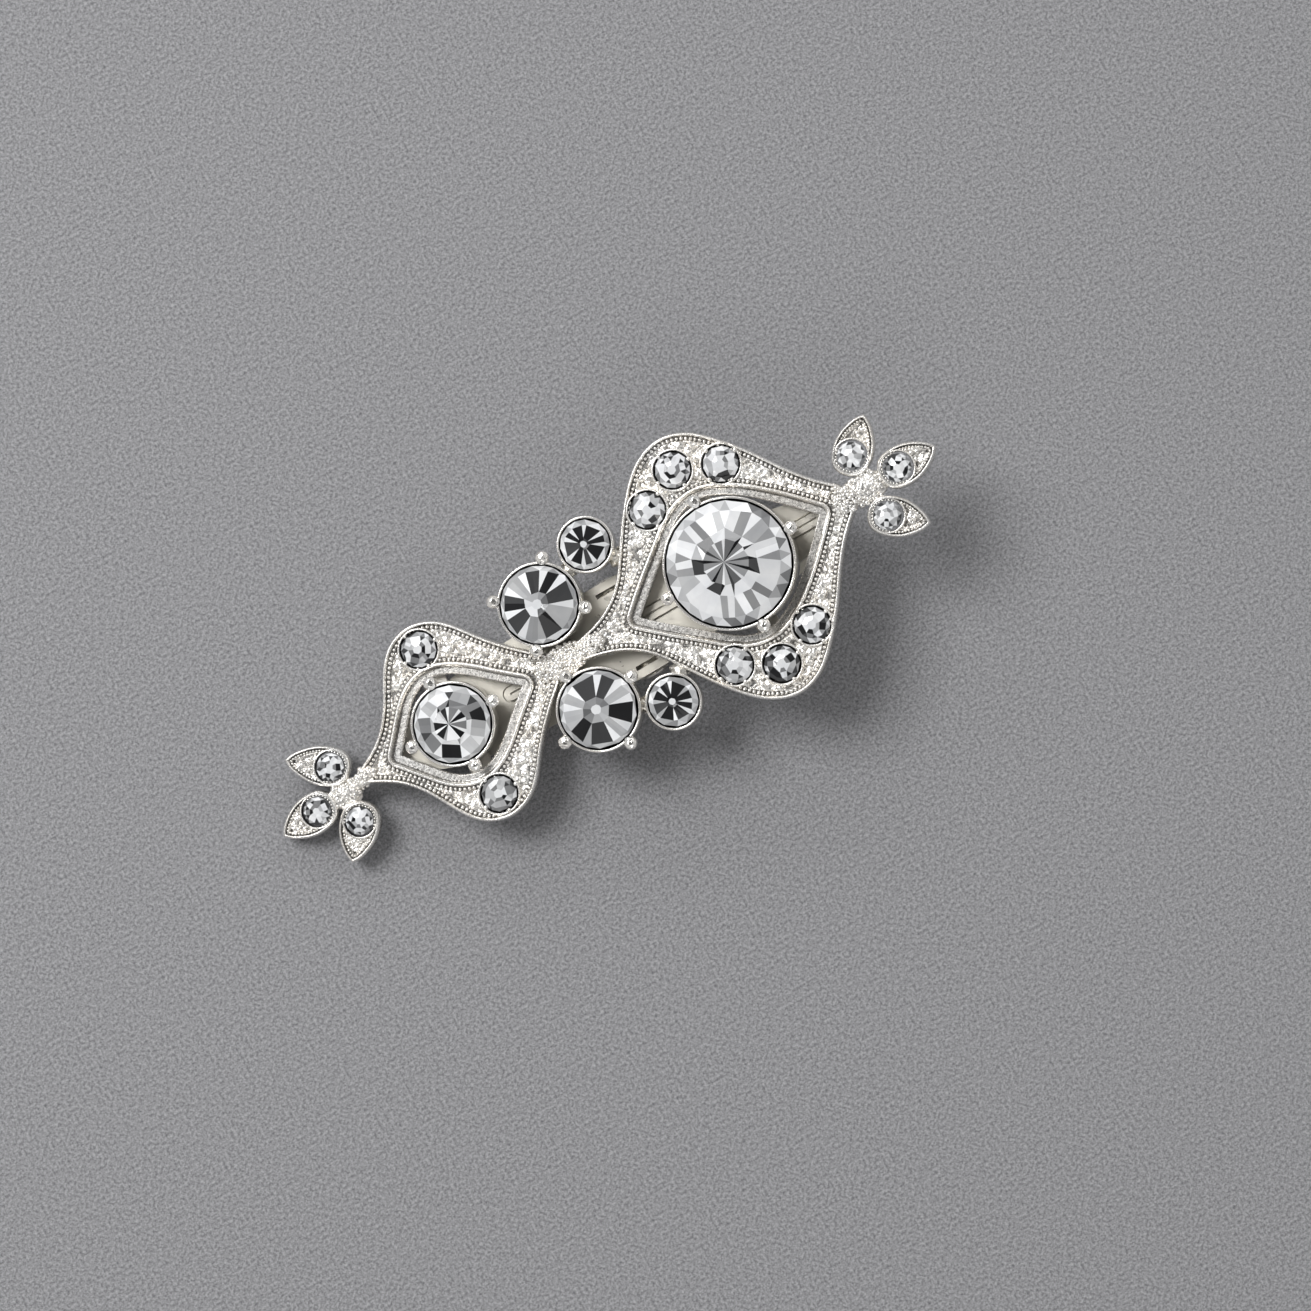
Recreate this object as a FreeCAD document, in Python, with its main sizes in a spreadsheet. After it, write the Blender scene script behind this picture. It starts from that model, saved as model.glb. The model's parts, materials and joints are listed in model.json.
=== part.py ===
import FreeCAD, Part
import math
import os
import Sketcher

# A jewelled hair clip: a cast ornament of two diamond frames, two leaf sprigs and six stone cups,
# soldered to the upper blade of a sprung alligator clip.
#
# Every piece is drawn in the ornament's own frame: x along the clip from the small frame to the
# large one, y across it, z up, with z = 0 on the flat back of the castings. The clip is then laid
# down the way it rests on a table, on the tip of the lower jaw and the end of the lower lever.

V = FreeCAD.Vector

SIZES = {
    # castings
    "rim_top": 1.9,  # top of the frames' raised rims
    "ground_top": 1.25,  # top of the sunken ground between the rims
    "rim_width": 0.6,
    "ledge_width": 0.7,  # thin ledge at the foot of a window's wall
    "ledge_top": 0.5,
    "seat_ring_radius": 1.97,  # raised ring round a flush stone
    "seat_ring_top": 1.75,
    "boss_left": -4.9,
    "boss_right": -2.2,
    "boss_half_width": 1.5,
    "boss_top": 2.1,
    # leaves
    "leaf_top": 1.4,
    "leaf_ground": 0.95,
    "leaf_rim_width": 0.32,
    "leaf_half_width": 1.85,
    "leaf_seat_radius": 1.72,
    "leaf_seat_top": 1.3,
    "hub_radius": 1.45,
    "hub_top": 1.3,
    "left_sprig_stem": 0.7,  # half the width of the stem between hub and frame
    "right_sprig_stem": 1.3,
    # large stone and its cup
    "large_radius": 5.75,
    "large_crown": 1.75,
    "large_pavilion": 3.6,
    "large_table": 2.5,
    "large_seat": 3.9,
    "large_wall": 0.3,
    # medium stones and their cups
    "medium_radius": 3.58,
    "medium_crown": 1.15,
    "medium_pavilion": 2.45,
    "medium_table": 1.15,
    "medium_seat": 2.75,
    "medium_wall": 0.3,
    # small stones and their cups
    "small_radius": 2.3,
    "small_crown": 0.8,
    "small_pavilion": 1.6,
    "small_table": 0.7,
    "small_seat": 1.95,
    "small_wall": 0.33,
    # stones set flush in the frames
    "flush_radius": 1.72,
    "flush_crown": 0.55,
    "flush_pavilion": 1.15,
    "flush_table": 0.7,
    "flush_seat": 1.5,
    # stones set in the leaves
    "leaf_stone_radius": 1.42,
    "leaf_stone_crown": 0.5,
    "leaf_stone_pavilion": 0.9,
    "leaf_stone_table": 0.6,
    "leaf_stone_seat": 1.15,
    "girdle": 0.15,  # straight edge between a stone's crown and its pavilion
    "stone_gap": 0.03,  # between a stone and the wall of its seat
    # prongs
    "prong_radius": 0.36,
    "bead_radius": 0.48,
    "bead_offset": 0.408,  # from a cup's wall to the middle of its prongs
    "cup_rim": 0.1,  # height of a cup's rim above its stone's girdle
    # clip
    "sheet_thick": 0.7,
    "blade_top": -0.9,
    "rib_height": 0.28,
    "rib_half_width": 0.6,
    "groove_half_width": 0.09,
    "rib_moat_width": 0.16,  # groove pressed round each rib
    "rib_moat_depth": 0.3,
    "slot_inner": 3.55,  # slots in the blade beside the ears of the moving one
    "slot_outer": 3.95,
    "slot_half_length": 1.1,
    "bar_half_width": 1.1,
    "bar_thick": 0.6,
    "pin_x": 2.5,
    "pin_z": -3.1,
    "pin_radius": 0.7,
    "pin_running_gap": 0.04,
    "pin_head_radius": 1.1,
    "pin_head_thick": 0.4,
    "ear_radius": 1.4,
    "upper_ear_inner": 4.0,
    "upper_ear_outer": 4.7,
    "lower_ear_inner": 3.2,
    "lower_ear_outer": 3.9,
    "jaw_gap": 0.15,  # between the closed jaws
    "jaw_tip_x": -22.7,
    "lever_end_x": 22.4,
    "lever_end_z": -8.9,
    "spring_wire": 0.6,
    "spring_coil_radius": 1.15,
    "spring_turns": 3,
    "spring_leg": 7.2,
    "spring_leg_slope": 10,  # of the lower leg, in degrees; the upper one lies along its lever
    "tooth_pitch": 1.3,
    "tooth_rise": 0.45,
    "tooth_thick": 0.55,
    "tooth_root": 0.15,  # how deep the teeth's gullets lie in the jaw
    "first_tooth_x": -18.0,
    "tooth_count": 8,
}

# Upper halves of the castings' outlines; the lower halves mirror them in y = 0.
SMALL_OUTLINE = [
    (-25.2, 0.65),
    (-22.2, 2.45),
    (-19.8, 5.65),
    (-17.5, 8.9),
    (-14.8, 9.9),
    (-12.0, 8.9),
    (-9.6, 6.15),
    (-7.2, 3.5),
    (-4.9, 1.4),
]
SMALL_WINDOW = [
    (-22.1, 0.0),
    (-19.9, 2.55),
    (-18.0, 4.5),
    (-15.3, 5.45),
    (-12.6, 4.5),
    (-9.9, 2.3),
    (-7.1, 0.0),
]
LARGE_OUTLINE = [
    (-2.2, 0.9),
    (1.0, 1.75),
    (3.5, 3.4),
    (5.6, 6.2),
    (8.2, 9.8),
    (10.8, 12.3),
    (13.7, 13.25),
    (16.4, 12.4),
    (18.4, 10.6),
    (20.0, 8.75),
    (22.3, 5.5),
    (24.3, 3.0),
    (26.0, 1.4),
]
LARGE_WINDOW = [
    (3.2, 0.0),
    (6.0, 2.5),
    (8.7, 4.7),
    (11.2, 6.6),
    (14.0, 7.35),
    (16.7, 6.5),
    (19.1, 4.8),
    (21.6, 2.5),
    (24.0, 0.0),
]
BLADE_OUTLINE = [
    (-22.8, 0.0),
    (-21.3, 1.75),
    (-17.0, 3.4),
    (-8.0, 4.4),
    (3.0, 4.7),
    (12.0, 4.15),
    (17.5, 3.3),
    (21.3, 2.5),
    (23.4, 1.7),
    (24.15, 0.95),
    (24.4, 0.0),
]
LOWER_BLADE_OUTLINE = [
    (-22.7, 1.3),
    (-20.5, 2.2),
    (-17.0, 3.0),
    (-8.0, 3.75),
    (3.0, 3.9),
    (12.0, 3.7),
    (18.5, 3.1),
    (22.4, 2.3),
]

# Leaves: name, the x and y of the stone, and the direction in degrees and reach of the point.
LEFT_LEAVES = [
    ("upper", -27.35, 2.3, 142, 4.35),
    ("tip", -30.4, -0.6, 186, 3.95),
    ("lower", -27.4, -3.3, 230, 3.9),
]
RIGHT_LEAVES = [
    ("upper", 28.2, 3.1, 44, 3.95),
    ("tip", 31.3, 0.1, 0, 3.95),
    ("lower", 28.4, -3.2, -40, 3.95),
]
LEFT_HUB = (-27.4, -0.55)
RIGHT_HUB = (28.3, 0.0)
SMALL_FLUSH = [("upper", -14.85, 7.55), ("lower", -14.85, -7.55)]
LARGE_FLUSH = [
    ("inner_upper", 9.7, 8.1),
    ("middle_upper", 13.5, 10.1),
    ("outer_upper", 17.6, 8.4),
    ("inner_lower", 9.7, -8.1),
    ("middle_lower", 13.5, -10.1),
    ("outer_lower", 17.6, -8.4),
]
# Cups: name, kind, x, y and the angle of the first of four prongs, or None for a plain cup.
CUPS = [
    ("large_cup", "large", 14.0, 0.0, 0),
    ("small_frame_cup", "medium", -15.3, 0.0, 0),
    ("upper_side_cup", "medium", -3.0, 5.48, 57),
    ("lower_side_cup", "medium", -3.0, -5.48, 15),
    ("upper_end_cup", "small", 3.25, 8.2, None),
    ("lower_end_cup", "small", 3.25, -8.2, None),
]
SOLDER_PADS = [
    (-15.3, 2.1),
    (-15.3, -2.1),
    (14.0, 2.1),
    (14.0, -2.1),
    (-3.0, 3.2),
    (-3.0, -3.2),
    (-5.9, 1.35),
    (-5.9, -1.35),
    (0.4, 0.9),
    (0.4, -0.9),
]
PAD_RADIUS = 0.7
# Bars behind the windows: the x of the middle and the reach to each side.
FRONT_BAR = (-15.3, 6.3)
REAR_BAR = (14.0, 8.3)
# Joints between the upper cups and the frame: x, y and radius; the lower ones mirror them.
CUP_JOINTS = [(0.62, 7.05, 0.75), (5.05, 6.0, 0.85)]
# Ribs of the upper blade: name and the x of both ends.
RIBS = [("front_rib", -9.8, -4.6), ("rear_rib", 4.0, 22.6)]
LEAF_REACH = 3.95  # reach of a leaf of the usual length
BEYOND = 1  # how far a cutting tool stands out of the metal
OVERLAP = 0.1  # how far joined solids run into each other
SPRING_LEG_SLIM = 0.88  # the legs are a little thinner than the sleeve that stands for the coils

doc = FreeCAD.newDocument("hair_clip")
sheet = doc.addObject("Spreadsheet::Sheet", "Sizes")
for row, (alias, value) in enumerate(SIZES.items(), start=1):
    sheet.set(f"A{row}", alias)
    sheet.set(f"B{row}", str(value))
    sheet.setAlias(f"B{row}", alias)
doc.recompute()

parts = []


def size(alias):
    """The value of one of the sheet's driving dimensions."""
    return float(sheet.get(alias))


def bind(thing, **expressions):
    """Ties each named property of an object to an expression on the sheet's cells."""
    for prop, expression in expressions.items():
        thing.setExpression(prop.replace("__", "."), expression)
    return thing


def cell(alias):
    return f"Sizes.{alias}"


def piece(thing, label, x=0.0, y=0.0, z=0.0):
    """Marks an object as a sub-part of the clip, with its place in the ornament's frame."""
    thing.Label = label
    parts.append((thing, V(x, y, z)))
    return thing


# ---- building blocks -------------------------------------------------------------------------


def spline(points, round_start=False, round_end=False):
    """A smooth curve through points from left to right, upright at an end that is round."""
    curve = Part.BSplineCurve()
    places = [V(x, y, 0) for x, y in points]
    curve.interpolate(places)
    up, down = V(0, 1, 0), V(0, -1, 0)
    if round_start or round_end:
        first = up if round_start else curve.tangent(curve.FirstParameter)[0]
        last = down if round_end else curve.tangent(curve.LastParameter)[0]
        curve.interpolate(Points=places, InitialTangent=first, FinalTangent=last)
    return curve


def moved(half, amount, round_start=False, round_end=False):
    """The upper half of an outline, moved outwards by `amount`, or inwards if it is negative."""
    curve = spline(half, round_start, round_end)
    places = []
    for n, (x, y) in enumerate(half):
        ahead = curve.tangent(curve.parameter(V(x, y, 0)))[0]
        outwards = {0: -1, len(half) - 1: 1}.get(n, 0)
        if outwards and y == 0:
            places.append((x + outwards * amount / abs(ahead.y), 0))
        elif outwards:
            places.append((x + outwards * amount, max(0.1, y + ahead.x * amount)))
        else:
            places.append((x - ahead.y * amount, y + ahead.x * amount))
    return places


def outline(name, half, round_start=False, round_end=False):
    """A closed flat outline: a smooth curve through `half`, mirrored in the x axis.

    Ends that stand off the axis are joined by a straight edge.
    """
    sketch = doc.addObject("Sketcher::SketchObject", name)
    upper = spline(half, round_start, round_end)
    lower = upper.copy()
    lower.mirror(V(0, 0, 0), V(1, 0, 0))
    sketch.addGeometry(upper, False)
    sketch.addGeometry(lower, False)
    for x, y in (half[0], half[-1]):
        if y > 0:
            sketch.addGeometry(Part.LineSegment(V(x, y, 0), V(x, -y, 0)), False)
    return sketch


def extrude(name, source, low, high):
    """A solid on a flat outline, from height `low` to height `high`."""
    solid = doc.addObject("Part::Extrusion", name)
    solid.Base = source
    solid.DirMode = "Custom"
    solid.Dir = V(0, 0, 1)
    solid.Solid = True
    return bind(solid, LengthFwd=high, LengthRev=f"-({low})")


def cylinder(name, radius, low, high, x=0.0, y=0.0):
    """An upright cylinder on the point x, y."""
    solid = doc.addObject("Part::Cylinder", name)
    solid.Placement.Base = V(x, y, 0)
    bind(solid, Radius=radius, Height=f"({high})-({low})")
    return bind(solid, Placement__Base__z=low)


def cross_cylinder(name, radius, near, far):
    """A cylinder along y on the hinge's axis, between the planes y = near and y = far."""
    solid = doc.addObject("Part::Cylinder", name)
    solid.Placement.Rotation = FreeCAD.Rotation(V(1, 0, 0), -90)
    bind(solid, Radius=radius, Height=f"({far})-({near})")
    bind(solid, Placement__Base__x=cell("pin_x"), Placement__Base__z=cell("pin_z"))
    return bind(solid, Placement__Base__y=near)


def box(name, low, high):
    """A box between two corners, each given as three expressions."""
    solid = doc.addObject("Part::Box", name)
    x0, y0, z0 = low
    x1, y1, z1 = high
    bind(solid, Length=f"({x1})-({x0})", Width=f"({y1})-({y0})", Height=f"({z1})-({z0})")
    return bind(solid, Placement__Base__x=x0, Placement__Base__y=y0, Placement__Base__z=z0)


def fuse(name, shapes):
    joined = doc.addObject("Part::MultiFuse", name)
    joined.Shapes = shapes
    joined.Refine = True
    return joined


def cut(name, base, tool):
    rest = doc.addObject("Part::Cut", name)
    rest.Base = base
    rest.Tool = tool
    return rest


def carve(name, body, tools):
    """Takes each tool out of a body in turn."""
    for n, tool in enumerate(tools):
        body = cut(f"{name}_carved{n}", body, tool)
    return body


def common(name, base, tool):
    shared = doc.addObject("Part::Common", name)
    shared.Base = base
    shared.Tool = tool
    return shared


# ---- stones and cups -------------------------------------------------------------------------


def seat_cutter(name, kind, x, y):
    """The space a stone of this kind needs: a bore above its girdle and a cone below it."""
    wall = f"{cell(kind + '_radius')}+{cell('stone_gap')}"
    seat = cell(kind + "_seat")
    depth = f"{cell(kind + '_pavilion')}+{cell('stone_gap')}"
    bore = cylinder(name + "_bore", wall, seat, f"{seat}+{3 * BEYOND}", x, y)
    cone = doc.addObject("Part::Cone", name + "_cone")
    cone.Placement.Base = V(x, y, 0)
    bind(cone, Radius2=wall, Radius1=cell("stone_gap"), Height=depth)
    bind(cone, Placement__Base__z=f"{seat}-({depth})")
    return [bore, cone]


def stone(label, kind, x, y):
    """A round brilliant: a revolved body with its girdle's lower edge at z = 0."""
    body = doc.addObject("PartDesign::Body", label + "_body")
    sketch = body.newObject("Sketcher::SketchObject", label + "_profile")
    plane = next(f for f in body.Origin.OriginFeatures if f.Role == "XZ_Plane")
    sketch.AttachmentSupport = [(plane, "")]
    sketch.MapMode = "FlatFace"
    radius = size(kind + "_radius")
    top = size("girdle") + size(kind + "_crown")
    corners = [
        (0.0, -size(kind + "_pavilion")),
        (radius, 0.0),
        (radius, size("girdle")),
        (size(kind + "_table"), top),
        (0.0, top),
    ]
    count = len(corners)
    for i, (r, z) in enumerate(corners):
        r_next, z_next = corners[(i + 1) % count]
        line = Part.LineSegment(V(r, z, 0), V(r_next, z_next, 0))
        sketch.addGeometry(line, False)
    for i in range(count):
        joint = Sketcher.Constraint("Coincident", i, 2, (i + 1) % count, 1)
        sketch.addConstraint(joint)
    sketch.addConstraint(Sketcher.Constraint("PointOnObject", 0, 1, -2))
    sketch.addConstraint(Sketcher.Constraint("PointOnObject", 4, 1, -2))
    sketch.addConstraint(Sketcher.Constraint("PointOnObject", 1, 1, -1))
    sketch.addConstraint(Sketcher.Constraint("Vertical", 1))
    sketch.addConstraint(Sketcher.Constraint("Horizontal", 3))
    driven = [
        ("pavilion", "DistanceY", (0, 1, -1, 1), cell(kind + "_pavilion")),
        ("radius", "DistanceX", (-1, 1, 1, 1), cell(kind + "_radius")),
        ("girdle", "DistanceY", (1, 1, 2, 1), cell("girdle")),
        ("table", "DistanceX", (-1, 1, 3, 1), cell(kind + "_table")),
        ("crown", "DistanceY", (2, 1, 3, 1), cell(kind + "_crown")),
    ]
    for name, sort, ends, expression in driven:
        value = doc.Sizes.evalExpression(expression.replace("Sizes.", ""))
        index = sketch.addConstraint(Sketcher.Constraint(sort, *ends, float(value)))
        sketch.renameConstraint(index, name)
        sketch.setExpression("Constraints." + name, expression)
    turned = body.newObject("PartDesign::Revolution", label + "_turned")
    turned.Profile = sketch
    turned.ReferenceAxis = (sketch, ["V_Axis"])
    turned.Angle = 360
    body.Tip = turned
    return piece(body, label, x, y, size(kind + "_seat"))


def cup_radius(kind):
    """The outer radius of a cup, as an expression."""
    return f"{cell(kind + '_radius')}+{cell('stone_gap')}+{cell(kind + '_wall')}"


def prong_place(kind, degrees):
    """Where the prong at this angle stands from its cup's centre, as two expressions."""
    reach = f"({cup_radius(kind)}+{cell('bead_offset')})"
    turn = math.radians(degrees)
    return f"{reach}*({math.cos(turn):.6f})", f"{reach}*({math.sin(turn):.6f})"


def prong_space(name, cup_name, number):
    """The room that one prong of a cup, counted from 0, needs beside a casting."""
    _, kind, x, y, first_prong = next(row for row in CUPS if row[0] == cup_name)
    across, along = prong_place(kind, first_prong + 90 * number)
    radius = f"{cell('prong_radius')}+{cell('stone_gap')}"
    room = cylinder(name, radius, f"-{BEYOND}", f"{cell('rim_top')}+{BEYOND}")
    return bind(room, Placement__Base__x=f"{x}+{across}", Placement__Base__y=f"{y}+{along}")


def cup(label, kind, x, y, first_prong):
    """A stone's cup, with four ball-ended prongs where it has them, on the point x, y."""
    rim = f"{cell(kind + '_seat')}+{cell('girdle')}+{cell('cup_rim')}"
    solids = [cylinder(label + "_wall", cup_radius(kind), "0", rim)]
    if first_prong is not None:
        top = f"{rim}+0.05"
        for n in range(4):
            prong = cylinder(f"{label}_prong{n}", cell("prong_radius"), "0", top)
            bead = doc.addObject("Part::Sphere", f"{label}_bead{n}")
            bind(bead, Radius=cell("bead_radius"), Placement__Base__z=top)
            across, along = prong_place(kind, first_prong + 90 * n)
            for rod in (prong, bead):
                bind(rod, Placement__Base__x=across, Placement__Base__y=along)
            solids += [prong, bead]
        body = fuse(label + "_blank", solids)
    else:
        body = solids[0]
    space = fuse(label + "_space", seat_cutter(label + "_seat", kind, 0, 0))
    return piece(cut(label, body, space), label, x, y)


# ---- castings --------------------------------------------------------------------------------


def frame(label, half, window_half, stones, notches=()):
    """A cast diamond frame: two raised rims, a sunken ground and rings for the flush stones.

    A thin ledge narrows the window at its back, and each notch leaves room for a cup's prong.
    """
    edge = outline(label + "_outline", half)
    window = outline(label + "_window", window_half)
    top = cell("rim_top")
    ground = cell("ground_top")
    blank = extrude(label + "_blank", edge, "0", top)
    rim = size("rim_width")
    inner = outline(label + "_edge_inset", moved(half, -rim))
    outer = outline(label + "_window_rim", moved(window_half, rim))
    sunk = extrude(label + "_sunk", inner, ground, f"{top}+{BEYOND}")
    island = extrude(label + "_island", outer, "0", f"{top}+{2 * BEYOND}")
    channel = cut(label + "_channel", sunk, island)
    relief = cut(label + "_relief", blank, channel)
    rings = [
        cylinder(f"{label}_ring{n}", cell("seat_ring_radius"), "0.1", cell("seat_ring_top"), x, y)
        for n, (_, x, y) in enumerate(stones)
    ]
    raised = fuse(label + "_raised", [relief, *rings])
    ledge = cell("ledge_top")
    throat = outline(label + "_throat", moved(window_half, -size("ledge_width")))
    spaces = [
        extrude(label + "_opening", window, ledge, f"{top}+{BEYOND}"),
        extrude(label + "_back_opening", throat, f"-{BEYOND}", f"{ledge}+{OVERLAP}"),
        *notches,
    ]
    for n, (_, x, y) in enumerate(stones):
        spaces += seat_cutter(f"{label}_seat{n}", "flush", x, y)
    return piece(carve(label, raised, spaces), label)


def leaf_half(length):
    """Half of a leaf from its round end to its point, with the stone's centre at the origin."""
    width = size("leaf_half_width")
    stretch = length / LEAF_REACH
    return [
        (-width, 0),
        (-0.72 * width, 0.74 * width),
        (0, width),
        (1.55 * stretch, 0.93 * width),
        (2.85 * stretch, 0.6 * width),
        (3.6 * stretch, 0.27 * width),
        (length, 0),
    ]


def sprig(label, leaves, hub, stem_end):
    """Three leaves on a hub, with a stem to the frame."""
    top = cell("leaf_top")
    solids = []
    hollows = []
    seats = []
    for name, x, y, direction, length in leaves:
        half = leaf_half(length)
        edge = outline(f"{label}_{name}_outline", half, True)
        inset_half = moved(half, -size("leaf_rim_width"), True)
        inset = outline(f"{label}_{name}_inset", inset_half, True)
        for sketch in (edge, inset):
            turn = FreeCAD.Rotation(V(0, 0, 1), direction)
            sketch.Placement = FreeCAD.Placement(V(x, y, 0), turn)
        solids.append(extrude(f"{label}_{name}_leaf", edge, "0", top))
        ground = cell("leaf_ground")
        hollow = extrude(f"{label}_{name}_hollow", inset, ground, f"{top}+{BEYOND}")
        radius = cell("leaf_seat_radius")
        hollows.append(hollow)
        seats.append(cylinder(f"{label}_{name}_ring", radius, "0.1", cell("leaf_seat_top"), x, y))
    leaves_solid = fuse(label + "_leaves", solids)
    hollowed = cut(label + "_hollowed", leaves_solid, fuse(label + "_hollows", hollows))
    hub_x, hub_y = hub
    core = cylinder(label + "_core", cell("hub_radius"), "0", cell("hub_top"), hub_x, hub_y)
    near, far = sorted((hub_x, stem_end))
    half = cell(label + "_stem")
    stem = box(label + "_stem", (str(near), f"-{half}", "0"), (str(far), half, cell("hub_top")))
    raised = fuse(label + "_raised", [hollowed, core, stem, *seats])
    spaces = []
    for name, x, y, _, _ in leaves:
        spaces += seat_cutter(f"{label}_{name}_seat", "leaf_stone", x, y)
    return piece(carve(label, raised, spaces), label)


def centre_boss():
    """The block between the frames, notched for the prongs of the side cups."""
    half = cell("boss_half_width")
    low = (cell("boss_left"), f"-{half}", "0")
    high = (cell("boss_right"), half, cell("boss_top"))
    notches = [
        prong_space("boss_notch_upper", "upper_side_cup", 2),
        prong_space("boss_notch_lower", "lower_side_cup", 1),
    ]
    return piece(carve("boss", box("centre_block", low, high), notches), "centre_boss")


# ---- fixings ---------------------------------------------------------------------------------


def cross_bar(label, x, reach):
    """A flat bar behind a window that carries its cup and meets the frame on both sides."""
    bar = doc.addObject("Part::Box", label + "_bar")
    bind(bar, Length=f"2*{cell('bar_half_width')}", Height=cell("bar_thick"))
    bar.Width = 2 * reach
    return piece(bar, label, x - size("bar_half_width"), -reach, -size("bar_thick"))


def solder_pads():
    """Solder between the blade and the bars, cups and frames above it."""
    pads = []
    for n, (x, y) in enumerate(SOLDER_PADS):
        over_bar = x in (FRONT_BAR[0], REAR_BAR[0])
        top = f"-{cell('bar_thick')}" if over_bar else "0"
        pads.append(cylinder(f"pad{n}", str(PAD_RADIUS), cell("blade_top"), top, x, y))
    return piece(fuse("pads", pads), "solder_pads")


def cup_links(cups, large_frame_blank):
    """The joints that hold each end cup to the side cup and to the large frame."""
    lumps = []
    for sign in (1, -1):
        for n, (x, y, radius) in enumerate(CUP_JOINTS):
            name = f"link{n}{'a' if sign > 0 else 'b'}"
            lumps.append(cylinder(name, str(radius), "0.1", "1.2", x, sign * y))
    tools = [large_frame_blank]
    for label, kind, x, y, _ in cups:
        if label.endswith("side_cup") or label.endswith("end_cup"):
            tools.append(cylinder(label + "_clear", cup_radius(kind), "-1", "4", x, y))
    return piece(cut("links", fuse("link_lumps", lumps), fuse("link_clear", tools)), "cup_links")


# ---- the clip --------------------------------------------------------------------------------


def long_round(name, start, end, half, low, high):
    """A bar along x with rounded ends, on the middle of the blade."""
    bar = box(name + "_bar", (str(start), f"-({half})", low), (str(end), half, high))
    ends = [
        cylinder(f"{name}_end{n}", half, low, high, x)
        for n, x in enumerate((start, end))
    ]
    return fuse(name + "_blank", [bar, *ends])


def rib_moat(name, start, end):
    """The groove pressed round a rib, as the space it takes from the blade."""
    half = f"{cell('rib_half_width')}+{cell('rib_moat_width')}"
    low = f"{cell('blade_top')}-{cell('rib_moat_depth')}"
    return long_round(name + "_moat", start, end, half, low, f"{cell('blade_top')}+{BEYOND}")


def rib(name, start, end):
    """A raised rib with rounded ends and a fine groove along its top."""
    low = f"{cell('blade_top')}-{cell('rib_moat_depth')}-{OVERLAP}"
    high = f"{cell('blade_top')}+{cell('rib_height')}"
    body = long_round(name, start, end, cell("rib_half_width"), low, high)
    groove_low = (str(start), f"-{cell('groove_half_width')}", cell("blade_top"))
    groove_high = (str(end), cell("groove_half_width"), f"{high}+{BEYOND}")
    return cut(name, body, box(name + "_groove", groove_low, groove_high))


def ears(name, inner, outer, far_z):
    """A pair of hinge ears: round about the pin, and straight from there to height far_z."""
    left = f"{cell('pin_x')}-{cell('ear_radius')}"
    right = f"{cell('pin_x')}+{cell('ear_radius')}"
    low, high = sorted((size("pin_z"), far_z))
    solids = []
    for side, (near, far) in (("a", (inner, outer)), ("b", (f"-{outer}", f"-{inner}"))):
        solids.append(cross_cylinder(f"{name}_round_{side}", cell("ear_radius"), near, far))
        solids.append(box(f"{name}_web_{side}", (left, near, str(low)), (right, far, str(high))))
    return solids


def upper_blade():
    """The fixed blade: flat sheet with pressed ribs, slots beside its ears and the pin's holes."""
    edge = outline("upper_edge", BLADE_OUTLINE, True, True)
    top = cell("blade_top")
    plate = extrude("upper_plate", edge, f"{top}-{cell('sheet_thick')}", top)
    moats = [rib_moat(*place) for place in RIBS]
    ribs = [rib(*place) for place in RIBS]
    inner = cell("upper_ear_inner")
    outer = cell("upper_ear_outer")
    folded = ears("upper_ears", inner, outer, size("blade_top") - OVERLAP)
    blank = fuse("upper_blank", [carve("upper_plate", plate, moats), *ribs, *folded])
    side = f"{outer}+{BEYOND}"
    bore = cross_cylinder("upper_bore", f"{cell('pin_radius')}+0.01", f"-({side})", side)
    slots = []
    near_side = (cell("slot_inner"), cell("slot_outer"))
    far_side = (f"-{cell('slot_outer')}", f"-{cell('slot_inner')}")
    for label, (near, far) in (("slot_a", near_side), ("slot_b", far_side)):
        start = f"{cell('pin_x')}-{cell('slot_half_length')}"
        end = f"{cell('pin_x')}+{cell('slot_half_length')}"
        low = (start, near, f"{top}-{BEYOND}")
        slots.append(box(label, low, (end, far, f"{top}+{BEYOND}")))
    return piece(cut("upper", blank, fuse("upper_space", [bore, *slots])), "upper_blade")


def side_profile(name, upper, lower):
    """A closed outline in the xz plane: two lines of curves, joined by an edge at each end."""
    sketch = doc.addObject("Sketcher::SketchObject", name)
    starts = Part.LineSegment(upper[0].StartPoint, lower[0].StartPoint)
    ends = Part.LineSegment(upper[-1].EndPoint, lower[-1].EndPoint)
    for curve in [*upper, *lower, starts, ends]:
        sketch.addGeometry(curve, False)
    sketch.Placement.Rotation = FreeCAD.Rotation(V(1, 0, 0), 90)
    return sketch


def across(name, source, half):
    """A solid on an outline in the xz plane, reaching `half` to each side of it."""
    solid = doc.addObject("Part::Extrusion", name)
    solid.Base = source
    solid.DirMode = "Custom"
    solid.Dir = V(0, 1, 0)
    solid.Solid = True
    return bind(solid, LengthFwd=half, LengthRev=half)


def closed_jaw_z():
    """The height of the lower jaw's upper face at its tip, when the jaws are closed."""
    return size("blade_top") - size("sheet_thick") - size("jaw_gap")


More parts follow.
